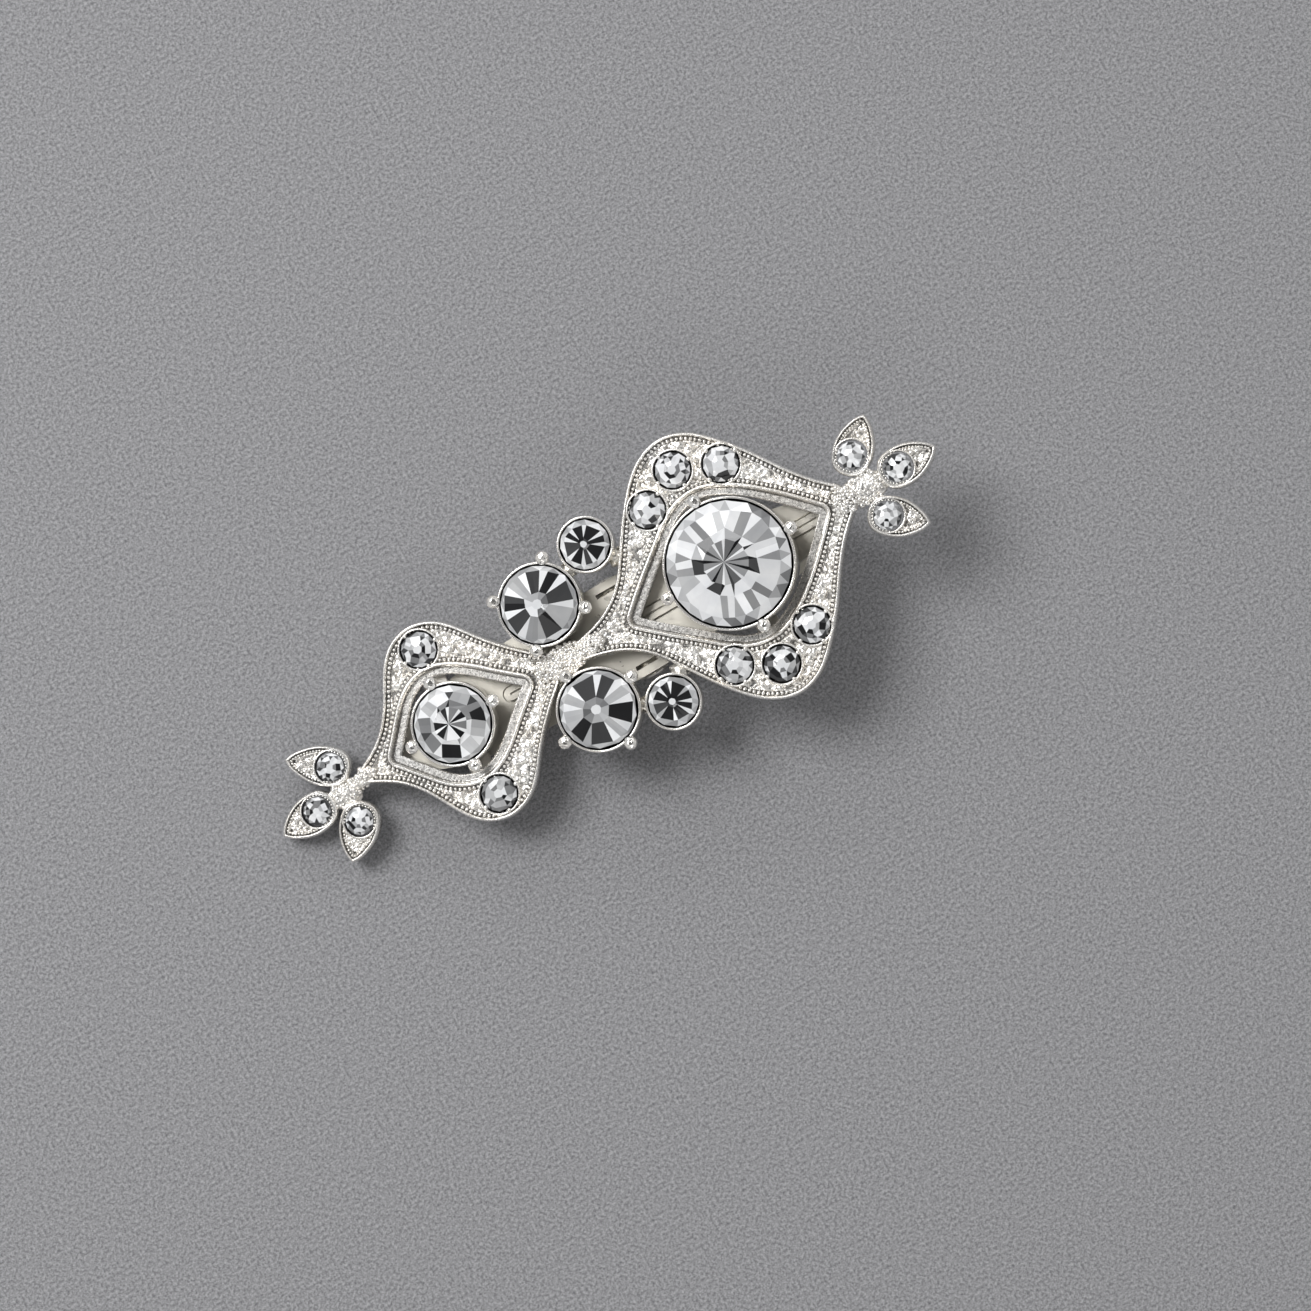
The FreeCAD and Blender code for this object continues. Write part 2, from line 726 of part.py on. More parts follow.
def lower_blade():
    """The moving blade: a bowed jaw, a lever bent away from the upper one, ears and teeth."""
    jaw_z = closed_jaw_z()
    hinge_z = size("pin_z") - size("spring_coil_radius") - size("spring_wire") / 2 - 0.1
    line = [
        (size("jaw_tip_x") - 0.3, jaw_z),
        (-18.5, jaw_z - 0.25),
        (-9.0, jaw_z - 1.75),
        (-1.0, hinge_z + 0.05),
        (2.5, hinge_z),
        (6.5, hinge_z - 0.85),
        (15.0, hinge_z - 2.65),
        (size("lever_end_x") + 0.3, size("lever_end_z")),
    ]
    bottom = [(x, z - size("sheet_thick")) for x, z in line]
    profile = side_profile("lower_profile", [spline(line)], [spline(bottom)])
    edge = outline("lower_edge", LOWER_BLADE_OUTLINE)
    prism = extrude("lower_prism", edge, "-15", "1")
    plate = common("lower_plate", across("lower_strip", profile, "6"), prism)

    teeth_line = []
    pitch = size("tooth_pitch")
    slope = (line[2][1] - line[1][1]) / (line[2][0] - line[1][0])
    for n in range(int(size("tooth_count"))):
        start = size("first_tooth_x") + n * pitch
        z = line[1][1] + slope * (start - line[1][0]) - size("tooth_root")
        gullet = V(start, z, 0)
        peak = V(start + pitch / 2, z + size("tooth_rise"), 0)
        end = V(start + pitch, z + slope * pitch, 0)
        teeth_line += [Part.LineSegment(gullet, peak), Part.LineSegment(peak, end)]
    first, last = teeth_line[0].StartPoint, teeth_line[-1].EndPoint
    below = V(0, size("sheet_thick") - size("tooth_root") - 0.05, 0)
    root = [Part.LineSegment(first - below, last - below)]
    teeth_strip = across("teeth_strip", side_profile("teeth_profile", teeth_line, root), "6")
    inset = outline("teeth_inset", moved(LOWER_BLADE_OUTLINE, -size("tooth_thick")))
    teeth_rows = common("teeth_rows", teeth_strip, prism)
    teeth = cut("teeth", teeth_rows, extrude("teeth_core", inset, "-16", "2"))

    inner = cell("lower_ear_inner")
    outer = cell("lower_ear_outer")
    folded = ears("lower_ears", inner, outer, hinge_z - size("sheet_thick") / 2)
    blank = fuse("lower_blank", [plate, teeth, *folded])
    radius = f"{cell('pin_radius')}+{cell('pin_running_gap')}"
    return piece(cut("lower", blank, cross_cylinder("lower_bore", radius, "-6", "6")), "lower_blade")


def hinge_pin():
    """A rivet through the four ears, with a flat head at each end."""
    outer = cell("upper_ear_outer")
    head = f"{outer}+{cell('pin_head_thick')}"
    shank = cross_cylinder("pin_shank", cell("pin_radius"), f"-{outer}", outer)
    left = cross_cylinder("pin_head_a", cell("pin_head_radius"), outer, head)
    right = cross_cylinder("pin_head_b", cell("pin_head_radius"), f"-({head})", f"-{outer}")
    return piece(fuse("pin", [shank, left, right]), "hinge_pin")


def torsion_spring():
    """The closely wound coils, as one sleeve round the pin, with a leg along each lever."""
    wire = f"{cell('spring_wire')}/2"
    radius = cell("spring_coil_radius")
    half = f"({cell('spring_turns')}+1.5)*{wire}"
    solids = [cross_cylinder("coils", f"{radius}+{wire}", f"-{half}", half)]
    side_y = size("spring_turns") * size("spring_wire") / 2
    for name, side, slope in (("lower_leg", -1, size("spring_leg_slope")), ("upper_leg", 1, 0)):
        turn = FreeCAD.Rotation(V(0, 1, 0), slope)
        out = turn.multVec(V(0, 0, side * size("spring_coil_radius")))
        leg = doc.addObject("Part::Cylinder", name)
        along = turn.multiply(FreeCAD.Rotation(V(0, 1, 0), 90))
        place = V(size("pin_x"), side * side_y, size("pin_z")) + out
        leg.Placement = FreeCAD.Placement(place, along)
        solids.append(bind(leg, Radius=f"{wire}*{SPRING_LEG_SLIM}", Height=cell("spring_leg")))
    bore = cross_cylinder("coil_bore", f"{radius}-{wire}", "-4", "4")
    return piece(cut("spring", fuse("spring_blank", solids), bore), "torsion_spring")


# ---- assembly --------------------------------------------------------------------------------

side_notch = prong_space("side_notch", "upper_side_cup", 2)
upper_notch = prong_space("upper_notch", "large_cup", 1)
lower_notch = prong_space("lower_notch", "large_cup", 3)
frame("small_frame", SMALL_OUTLINE, SMALL_WINDOW, SMALL_FLUSH, [side_notch])
frame("large_frame", LARGE_OUTLINE, LARGE_WINDOW, LARGE_FLUSH, [upper_notch, lower_notch])
centre_boss()
sprig("left_sprig", LEFT_LEAVES, LEFT_HUB, SMALL_OUTLINE[0][0])
sprig("right_sprig", RIGHT_LEAVES, RIGHT_HUB, LARGE_OUTLINE[-1][0])
for name, kind, x, y, first_prong in CUPS:
    cup(name, kind, x, y, first_prong)
    stone(name.replace("_cup", "_stone"), kind, x, y)
for name, x, y in SMALL_FLUSH:
    stone(f"small_frame_flush_stone_{name}", "flush", x, y)
for name, x, y in LARGE_FLUSH:
    stone(f"large_frame_flush_stone_{name}", "flush", x, y)
for side, leaves in (("left", LEFT_LEAVES), ("right", RIGHT_LEAVES)):
    for name, x, y, _, _ in leaves:
        stone(f"{side}_leaf_stone_{name}", "leaf_stone", x, y)
cross_bar("front_cross_bar", *FRONT_BAR)
cross_bar("rear_cross_bar", *REAR_BAR)
solder_pads()
cup_links(CUPS, doc.large_frame_blank)
upper_blade()
lower_blade()
hinge_pin()
torsion_spring()
doc.recompute()

# Laid down: the lower blade's jaw tip and lever end touch z = 0, and the box round the whole
# clip is centred on x = y = 0.
run = size("lever_end_x") - size("jaw_tip_x")
drop = closed_jaw_z() - size("lever_end_z")
rest = FreeCAD.Rotation(V(0, 1, 0), -math.degrees(math.atan2(drop, run)))


def lay_down(shift):
    for thing, place in parts:
        thing.Placement = FreeCAD.Placement(rest.multVec(place) + shift, rest)
    doc.recompute()


lay_down(V(0, 0, 0))
bounds = FreeCAD.BoundBox()
for thing, _ in parts:
    bounds.add(thing.Shape.optimalBoundingBox(False, False))
lay_down(V(-bounds.Center.x, -bounds.Center.y, -bounds.ZMin))

for thing in doc.Objects:
    if "Invalid" in thing.State or "Error" in thing.State:
        raise RuntimeError(f"{thing.Name} failed: {thing.State}")
for thing, _ in parts:
    if thing.Shape.isNull() or not thing.Shape.isValid():
        raise RuntimeError(f"{thing.Label} has no valid shape")

os.makedirs("parts", exist_ok=True)
for thing, _ in parts:
    thing.Shape.exportStep(f"parts/{thing.Label}.step")

hinge = rest.multVec(V(size("pin_x"), 0, size("pin_z")))
hinge += V(-bounds.Center.x, -bounds.Center.y, -bounds.ZMin)
print(f"{len(parts)} pieces, tilt {rest.Angle:.5f} rad, hinge at {hinge}")
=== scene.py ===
# A jewelled hair clip: two cast diamond frames, two leaf sprigs and six stones in cups, on a
# sprung alligator clip that lies on a plain table top.
import json
import math
import random

import bmesh
import bpy
import numpy as np
from mathutils import Matrix, Vector, noise
from mathutils.kdtree import KDTree


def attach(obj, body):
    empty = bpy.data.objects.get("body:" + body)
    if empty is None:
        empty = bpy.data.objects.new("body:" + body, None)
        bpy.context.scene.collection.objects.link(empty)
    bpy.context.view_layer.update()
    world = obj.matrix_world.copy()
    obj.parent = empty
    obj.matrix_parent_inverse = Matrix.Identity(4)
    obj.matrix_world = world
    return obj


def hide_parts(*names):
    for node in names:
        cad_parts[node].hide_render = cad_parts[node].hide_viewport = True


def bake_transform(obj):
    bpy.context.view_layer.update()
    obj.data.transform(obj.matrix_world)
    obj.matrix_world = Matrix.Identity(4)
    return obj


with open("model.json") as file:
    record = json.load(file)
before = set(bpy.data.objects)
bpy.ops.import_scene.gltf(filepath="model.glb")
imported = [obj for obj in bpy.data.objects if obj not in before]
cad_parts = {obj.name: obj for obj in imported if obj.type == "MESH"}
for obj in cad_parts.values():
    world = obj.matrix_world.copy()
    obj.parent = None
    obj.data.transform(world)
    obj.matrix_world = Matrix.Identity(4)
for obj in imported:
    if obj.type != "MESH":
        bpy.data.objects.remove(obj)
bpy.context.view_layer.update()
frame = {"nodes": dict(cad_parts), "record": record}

MM = 0.001
RECORD = frame["record"]
random.seed(7)

# ---- the ornament's own frame ----------------------------------------------------------------
# Pieces are drawn in millimetres as the CAD model draws them, with z = 0 on the castings' flat
# back and x along the clip, and are then tilted the way the clip rests.

PIN = Vector((2.5, 0.0, -3.1))
HINGE = next(j for j in RECORD["behaviour"]["joints"] if j["name"] == "jaw_hinge")
BACK = Vector(next(m for m in RECORD["mounts"] if m["name"] == "sprig_back")["axis"])
TILT = Matrix.Rotation(-math.atan2(BACK.x, -BACK.z), 4, "Y") @ Matrix.Scale(MM, 4)
REST = Matrix.Translation(Vector(HINGE["pos_m"]) - TILT @ PIN) @ TILT
UNREST = REST.inverted()


def local_box(node):
    """Lowest and highest corner of a CAD node in the ornament's frame, in millimetres."""
    mesh = frame["nodes"][node].data
    places = np.empty(len(mesh.vertices) * 3)
    mesh.vertices.foreach_get("co", places)
    turned = places.reshape(-1, 3) @ np.array(UNREST.to_3x3()).T + np.array(UNREST.translation)
    return turned.min(axis=0), turned.max(axis=0)


# ---- curves ----------------------------------------------------------------------------------


def spline(points, start=None, steps=24):
    """A smooth curve through points; start fixes its direction at the first one."""
    place = np.array(points, float)
    gap = np.linalg.norm(np.diff(place, axis=0), axis=1)
    count = len(place)
    matrix = np.zeros((count, count))
    known = np.zeros((count, place.shape[1]))
    slope = np.diff(place, axis=0) / gap[:, None]
    for i in range(1, count - 1):
        matrix[i, i - 1] = 1 / gap[i - 1]
        matrix[i, i] = 2 / gap[i - 1] + 2 / gap[i]
        matrix[i, i + 1] = 1 / gap[i]
        known[i] = 3 * (slope[i - 1] / gap[i - 1] + slope[i] / gap[i])
    for row, near, fixed in ((0, 1, start), (count - 1, count - 2, None)):
        matrix[row, row] = 1 if fixed is not None else 2
        if fixed is None:
            matrix[row, near] = 1
            known[row] = 3 * slope[min(row, near)]
        else:
            known[row] = fixed
    ahead = np.linalg.solve(matrix, known)
    made = []
    t = np.linspace(0, 1, steps, endpoint=False)[:, None]
    for i in range(count - 1):
        made.append(
            (2 * t**3 - 3 * t**2 + 1) * place[i]
            + (t**3 - 2 * t**2 + t) * gap[i] * ahead[i]
            + (3 * t**2 - 2 * t**3) * place[i + 1]
            + (t**3 - t**2) * gap[i] * ahead[i + 1]
        )
    return np.vstack([*made, place[-1:]])


def mirrored(upper):
    """The closed loop of a half outline and its mirror image in the x axis."""
    lower = upper[::-1] * np.array([1, -1])
    loop = list(np.vstack([upper, lower]))
    kept = [loop[0]]
    for p in loop[1:]:
        if np.linalg.norm(p - kept[-1]) > 1e-6:
            kept.append(p)
    if np.linalg.norm(kept[0] - kept[-1]) < 1e-6:
        kept.pop()
    return np.array(kept)


def resampled(loop, count):
    """A closed loop as `count` points, the same distance apart."""
    closed = np.vstack([loop, loop[:1]])
    run = np.concatenate([[0], np.cumsum(np.linalg.norm(np.diff(closed, axis=0), axis=1))])
    at = np.linspace(0, run[-1], count, endpoint=False)
    return np.column_stack([np.interp(at, run, closed[:, k]) for k in range(2)])


def length_of(loop):
    return float(np.linalg.norm(np.roll(loop, -1, axis=0) - loop, axis=1).sum())


def distance_to(loop, points):
    """How far each point is from a closed loop."""
    far = np.full(len(points), 1e9)
    a = loop
    b = np.roll(loop, -1, axis=0)
    for p, q in zip(a, b):
        way = q - p
        t = np.clip(((points - p) @ way) / max(way @ way, 1e-12), 0, 1)
        near = p + t[:, None] * way
        far = np.minimum(far, np.linalg.norm(points - near, axis=1))
    return far


def inset(loop, amount, centre):
    """A loop moved by `amount` towards its centre, or away from it, without the crossed corners."""
    ahead = np.roll(loop, -1, axis=0) - np.roll(loop, 1, axis=0)
    ahead /= np.maximum(np.linalg.norm(ahead, axis=1), 1e-9)[:, None]
    side = np.column_stack([-ahead[:, 1], ahead[:, 0]])
    inward = np.sign(((np.array(centre) - loop) * side).sum(axis=1)).sum()
    moved = loop + side * amount * (1 if inward > 0 else -1)
    return moved[distance_to(loop, moved) > abs(amount) * 0.97]


def seen_from(loop, centre, angles):
    """The points of a loop that a centre sees at these angles."""
    offset = loop - np.array(centre)
    turn = np.arctan2(offset[:, 1], offset[:, 0])
    order = np.argsort(turn)
    turn, reach = turn[order], np.linalg.norm(offset, axis=1)[order]
    turn = np.concatenate([turn - 2 * math.pi, turn, turn + 2 * math.pi])
    reach = np.tile(reach, 3)
    far = np.interp(angles, turn, reach)
    return np.array(centre) + far[:, None] * np.column_stack([np.cos(angles), np.sin(angles)])


# ---- meshes ----------------------------------------------------------------------------------


class Shape:
    """Vertices and faces of one piece, in the ornament's frame, gathered from several forms."""

    def __init__(self):
        self.places = []
        self.faces = []
        # painted shade weights, with some tarnish, one for each vertex; they become the depth
        # attribute
        self.depths = []
        # painted reflections of a stone's facets, one grey for each face
        self.tones = None
        self.count = 0

    def add(self, places, faces, depth=0.0):
        places = np.asarray(places, float)
        self.places.append(places)
        self.depths.append(np.broadcast_to(np.asarray(depth, float), (len(places),)).copy())
        self.faces += [tuple(i + self.count for i in face) for face in faces]
        self.count += len(places)

    def piece(self, name, node, material, body="ornament", smooth=True):
        """Makes the mesh object that stands for a CAD node."""
        mesh = bpy.data.meshes.new(name)
        flat = np.vstack(self.places) @ np.array(REST.to_3x3()).T + np.array(REST.translation)
        mesh.from_pydata(flat.tolist(), [], self.faces)
        mesh.materials.append(material)
        mesh.polygons.foreach_set("use_smooth", [smooth] * len(self.faces))
        depth = mesh.attributes.new("depth", "FLOAT", "POINT")
        depth.data.foreach_set("value", np.concatenate(self.depths))
        if self.tones:
            tone = mesh.attributes.new("tone", "FLOAT", "FACE")
            tone.data.foreach_set("value", self.tones)
        mesh.update()
        thing = bpy.data.objects.new(name, mesh)
        bpy.context.scene.collection.objects.link(thing)
        turn_outwards(mesh)
        if body:
            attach(thing, body)
        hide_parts(node)
        return thing


def turn_outwards(mesh):
    """Makes every face of a mesh look outwards."""
    work = bmesh.new()
    work.from_mesh(mesh)
    bmesh.ops.recalc_face_normals(work, faces=work.faces)
    work.to_mesh(mesh)
    work.free()


def unit_ball(levels):
    """A round ball of radius 1 as vertices and faces."""
    work = bmesh.new()
    bmesh.ops.create_icosphere(work, subdivisions=levels, radius=1.0)
    places = np.array([v.co[:] for v in work.verts])
    faces = [tuple(v.index for v in f.verts) for f in work.faces]
    work.free()
    return places, faces


WALL_SHADE_AND_TARNISH = 0.4  # painted shade, with some tarnish, on a casting's upright walls, outside and in, from 0, bright, to 1, dark
GRAIN = unit_ball(2)
BALL = unit_ball(3)
LUMP = unit_ball(5)


def ball(shape, centre, radius, form=BALL, depth=0.0, squash=(1, 1, 1)):
    places, faces = form
    shape.add(places * radius * np.array(squash) + np.array(centre), faces, depth)


def lump(shape, centre, radii, roughness, seed, depth=0.2):
    """An uneven rounded lump, as of solder or a cast grain."""
    places, faces = LUMP
    offset = Vector((seed * 3.1, seed * 1.7, 0))
    swell = [1 + roughness * noise.noise(Vector(p) * 2.3 + offset) for p in places]
    shape.add(places * np.array(swell)[:, None] * np.array(radii) + np.array(centre), faces, depth)


def lathe(shape, centre, profile, turns, depth=0.0):
    """A profile of radius and height, turned about an upright axis; it is closed on itself.

    depth is one number, or one for each point of the profile.
    """
    profile = np.array(profile, float)
    rows = len(profile)
    angles = np.linspace(0, 2 * math.pi, turns, endpoint=False)
    ring = np.column_stack([np.cos(angles), np.sin(angles)])
    places = []
    for r, z in profile:
        places.append(np.column_stack([ring * r, np.full(turns, z)]))
    places = np.vstack(places) + np.array(centre)
    faces = []
    for i in range(rows):
        k = (i + 1) % rows
        for j in range(turns):
            n = (j + 1) % turns
            faces.append((i * turns + j, i * turns + n, k * turns + n, k * turns + j))
    shape.add(places, faces, np.repeat(depth, turns) if np.ndim(depth) else depth)


def tube(shape, path, radius, sides=14):
    """A round wire along a path, closed at both ends with a small dome."""
    path = np.array(path, float)
    ahead = np.gradient(path, axis=0)
    ahead /= np.linalg.norm(ahead, axis=1)[:, None]
    side = np.cross(ahead[0], (0.3, 0.2, 1.0))
    places = []
    rings = []
    first, last = ahead[0], ahead[-1]
    dome, slim = 0.6, 0.55
    spots = [(path[0] - first * radius * dome, slim), *[(p, 1.0) for p in path]]
    spots.append((path[-1] + last * radius * dome, slim))
    ways = [first, *ahead, last]
    for (spot, scale), way in zip(spots, ways):
        side = side - way * (side @ way)
        side /= np.linalg.norm(side)
        other = np.cross(way, side)
        turn = np.linspace(0, 2 * math.pi, sides, endpoint=False)[:, None]
        rings.append(len(places))
        places += list(spot + radius * scale * (np.cos(turn) * side + np.sin(turn) * other))
    faces = []
    for a, b in zip(rings, rings[1:]):
        for j in range(sides):
            n = (j + 1) % sides
            faces.append((a + j, a + n, b + n, b + j))
    faces.append(tuple(range(rings[0], rings[0] + sides)))
    faces.append(tuple(range(rings[-1] + sides - 1, rings[-1] - 1, -1)))
    shape.add(places, faces)


def band(shape, outer, inner, rows, height):
    """A closed casting between two loops, with a flat back at z = 0.

    height takes places and returns the top's z and a weight of painted shade, with some tarnish,
    for each place, mostly greater lower in the relief.
    """
    count = len(outer)
    across = np.linspace(0, 1, rows)[:, None, None]
    flat = (outer * (1 - across) + inner * across).reshape(-1, 2)
    z, depth = height(flat)
    top = np.column_stack([flat, z])
    rings = [top[i * count : (i + 1) * count] for i in range(rows)]
    deep = [depth[i * count : (i + 1) * count] for i in range(rows)]
    for loop, side, where in ((outer, rings[0], 0), (inner, rings[-1], len(rings) + 1)):
        low = np.column_stack([loop, np.zeros(count)])
        half = (low + side) / 2
        rings[where:where] = [low, half] if where == 0 else [half, low]
        # the upright walls get painted shade with some tarnish
        deep[where:where] = [np.full(count, WALL_SHADE_AND_TARNISH)] * 2
    places = np.vstack(rings)
    faces = []
    total = len(rings)
    for i in range(total):
        k = (i + 1) % total
        for j in range(count):
            n = (j + 1) % count
            faces.append((i * count + j, i * count + n, k * count + n, k * count + j))
    shape.add(places, faces, np.concatenate(deep))


# ---- materials -------------------------------------------------------------------------------


class Nodes:
    """Short calls for building one node material."""

    def __init__(self, name):
        self.material = bpy.data.materials.new(name)
        self.material.use_nodes = True
        self.tree = self.material.node_tree
        self.shader = self.tree.nodes["Principled BSDF"]
        self.place = self.add("ShaderNodeTexCoord").outputs["Object"]

    def add(self, kind, **values):
        node = self.tree.nodes.new(kind)
        for name, value in values.items():
            setattr(node, name, value)
        return node

    def link(self, source, target):
        self.tree.links.new(source, target)

    def noise(self, per_mm, detail=4.0, roughness=0.6):
        node = self.add("ShaderNodeTexNoise")
        node.inputs["Scale"].default_value = per_mm / MM
        node.inputs["Detail"].default_value = detail
        node.inputs["Roughness"].default_value = roughness
        self.link(self.place, node.inputs["Vector"])
        return node.outputs["Fac"]

    def cells(self, per_mm):
        node = self.add("ShaderNodeTexVoronoi")
        node.inputs["Scale"].default_value = per_mm / MM
        self.link(self.place, node.inputs["Vector"])
        return node.outputs["Distance"]

    def ramp(self, source, stops):
        node = self.add("ShaderNodeValToRGB")
        ends = node.color_ramp.elements
        while len(ends) < len(stops):
            ends.new(0.5)
        for element, (at, colour) in zip(ends, stops):
            element.position = at
            element.color = (*colour, 1) if len(colour) == 3 else colour
        self.link(source, node.inputs["Fac"])
        return node.outputs["Color"]

    def span(self, source, low, high, from_low=0.0, from_high=1.0):
        node = self.add("ShaderNodeMapRange")
        node.inputs["From Min"].default_value = from_low
        node.inputs["From Max"].default_value = from_high
        node.inputs["To Min"].default_value = low
        node.inputs["To Max"].default_value = high
        self.link(source, node.inputs["Value"])
        return node.outputs["Result"]

    def mix(self, factor, a, b, blend="MIX"):
        node = self.add("ShaderNodeMix", data_type="RGBA", blend_type=blend)
        for source, socket in ((factor, node.inputs[0]), (a, node.inputs[6]), (b, node.inputs[7])):
            if isinstance(source, (int, float)):
                socket.default_value = source
            elif isinstance(source, tuple):
                socket.default_value = (*source, 1)
            else:
                self.link(source, socket)
        return node.outputs[2]

    def depth(self):
        return self.add("ShaderNodeAttribute", attribute_name="depth").outputs["Fac"]

    def bump(self, source, strength, height_mm, under=None):
        node = self.add("ShaderNodeBump")
        node.inputs["Strength"].default_value = strength
        node.inputs["Distance"].default_value = height_mm * MM
        self.link(source, node.inputs["Height"])
        if under is not None:
            self.link(under, node.inputs["Normal"])
        return node.outputs["Normal"]

    def finish(self, **values):
        for name, value in values.items():
            socket = self.shader.inputs[name.replace("_", " ")]
            if isinstance(value, (int, float)):
                socket.default_value = value
            elif isinstance(value, tuple):
                socket.default_value = (*value, 1)
            else:
                self.link(value, socket)
        return self.material


def silver(name, grain=0.35, shine=0.2, warmth=0.0):
    """Bright silver plate: smooth on the high rims, rough down in the ground, and darkened there by
    painted shade with some tarnish, weighted by the depth attribute.
    """
    n = Nodes(name)
    deep = n.depth()
    patches = n.noise(0.22, 3)
    fine = n.noise(5.5, 5)
    plate = n.ramp(patches, [(0.3, (0.91, 0.9, 0.88)), (0.7, (0.96, 0.92, 0.86 - warmth))])
    # painted shade with some tarnish: a dark colour that the depth attribute mixes in over hollows,
    # trenches, ledges, walls and stone seats
    shade_and_tarnish = n.ramp(n.noise(1.1, 3), [(0.35, (0.035, 0.032, 0.03)), (0.65, (0.13, 0.12, 0.11))])
    colour = n.mix(deep, plate, shade_and_tarnish)
    rough = n.span(fine, shine * 0.7, shine * 1.5, 0.3, 0.7)
    relief = n.bump(fine, grain, 0.03)
    relief = n.bump(n.cells(2.6), grain * 0.8, 0.04, relief)
    return n.finish(Base_Color=colour, Metallic=0.9, Roughness=rough, Normal=relief)


def sheet_metal(name, colour, shine=0.24, brushed=1.0, metal=1.0):
    """Plated sheet, with rolling marks along the clip, faint stains and worn spots."""
    n = Nodes(name)
    stretch = n.add("ShaderNodeMapping")
    stretch.inputs["Scale"].default_value = (0.06, 1.0, 1.0)
    n.link(n.place, stretch.inputs["Vector"])
    lines = n.add("ShaderNodeTexNoise")
    lines.inputs["Scale"].default_value = 7.0 / MM
    lines.inputs["Detail"].default_value = 3.0
    n.link(stretch.outputs["Vector"], lines.inputs["Vector"])
    marks = lines.outputs["Fac"]
    dark = tuple(c * 0.8 for c in colour)
    stained = n.ramp(n.noise(0.16, 4), [(0.35, dark), (0.62, colour)])
    rough = n.span(n.noise(0.5, 4), shine * 0.7, shine * 1.5, 0.3, 0.7)
    relief = n.bump(marks, 0.2 * brushed, 0.004)
    relief = n.bump(n.noise(0.2, 2), 0.2, 0.02, relief)
    return n.finish(Base_Color=stained, Metallic=metal, Roughness=rough, Normal=relief)


def crystal(name):
    """Cut glass with painted reflections: every facet is painted its own grey, from black to white,
    under a clear face.
    """
    n = Nodes(name)
    tone = n.add("ShaderNodeAttribute", attribute_name="tone").outputs["Fac"]
    # painted reflections: each facet's grey, from black to white
    grey = n.ramp(tone, [(0.0, (0.004, 0.004, 0.005)), (1.0, (0.97, 0.975, 0.98))])
    cloud = n.ramp(n.noise(0.5, 3), [(0.3, (0.86, 0.87, 0.89)), (0.7, (1.0, 1.0, 1.0))])
    rough = n.span(n.noise(1.8, 4), 0.03, 0.12, 0.3, 0.7)
    polish = n.bump(n.noise(0.9, 2), 0.08, 0.02)
    return n.finish(
        Base_Color=n.mix(1.0, grey, cloud, "MULTIPLY"),
        Metallic=0.12,
        Specular_IOR_Level=0.12,
        Roughness=rough,
        Normal=polish,
        Coat_Weight=0.22,
        Coat_Roughness=0.02,
    )


SILVER = silver("silver_casting", grain=0.22, shine=0.25)
BEZEL = silver("silver_cup", grain=0.12, shine=0.16)
SOLDER = silver("solder", grain=0.5, shine=0.34, warmth=0.03)
BAR = sheet_metal("plated_bar", (0.66, 0.63, 0.58), 0.34, metal=0.7)
BLADE = sheet_metal("blade_nickel", (0.66, 0.63, 0.56), 0.34, metal=0.7)
PIN_METAL = sheet_metal("rivet_nickel", (0.66, 0.64, 0.6), 0.25)
WIRE = sheet_metal("spring_wire", (0.6, 0.59, 0.56), 0.3, 1.6)
CRYSTAL = crystal("crystal")

# ---- outlines of the castings, as in the CAD model -------------------------------------------

SMALL_OUTLINE = [
    (-25.2, 0.65),
    (-22.2, 2.45),
    (-19.8, 5.65),
    (-17.5, 8.9),
    (-14.8, 9.9),
    (-12.0, 8.9),
    (-9.6, 6.15),
    (-7.2, 3.5),
    (-4.9, 1.4),
]
SMALL_WINDOW = [
    (-22.1, 0.0),
    (-19.9, 2.55),
    (-18.0, 4.5),
    (-15.3, 5.45),
    (-12.6, 4.5),
    (-9.9, 2.3),
    (-7.1, 0.0),
]
LARGE_OUTLINE = [
    (-2.2, 0.9),
    (1.0, 1.75),
    (3.5, 3.4),
    (5.6, 6.2),
    (8.2, 9.8),
    (10.8, 12.3),
    (13.7, 13.25),
    (16.4, 12.4),
    (18.4, 10.6),
    (20.0, 8.75),
    (22.3, 5.5),
    (24.3, 3.0),
    (26.0, 1.4),
]
LARGE_WINDOW = [
    (3.2, 0.0),
    (6.0, 2.5),
    (8.7, 4.7),
    (11.2, 6.6),
    (14.0, 7.35),
    (16.7, 6.5),
    (19.1, 4.8),
    (21.6, 2.5),
    (24.0, 0.0),
]
LEAF_HALF_WIDTH = 1.85
LEAF_REACH = 3.95  # from the stone to the point, on a leaf of the usual length
# Each leaf's stone, the direction of its point in degrees, and its reach.
LEAVES = {
    "left": [("upper", 142, 4.35), ("tip", 186, 3.95), ("lower", 230, 3.9)],
    "right": [("upper", 44, 3.95), ("tip", 0, 3.95), ("lower", -40, 3.95)],
}
GRAIN_RADIUS = 0.175
GRAIN_PITCH = 0.43
FINE = 0.085  # distance between neighbouring points of a casting's relief

# Heights of the relief by the distance from a casting's edge and from its window.
EDGE_RELIEF = [
    (0, 1.45),
    (0.06, 1.76),
    (0.17, 1.89),
    (0.28, 1.85),
    (0.32, 1.4),
    (0.36, 1.25),
    (0.76, 1.25),
    (0.82, 1.05),
]
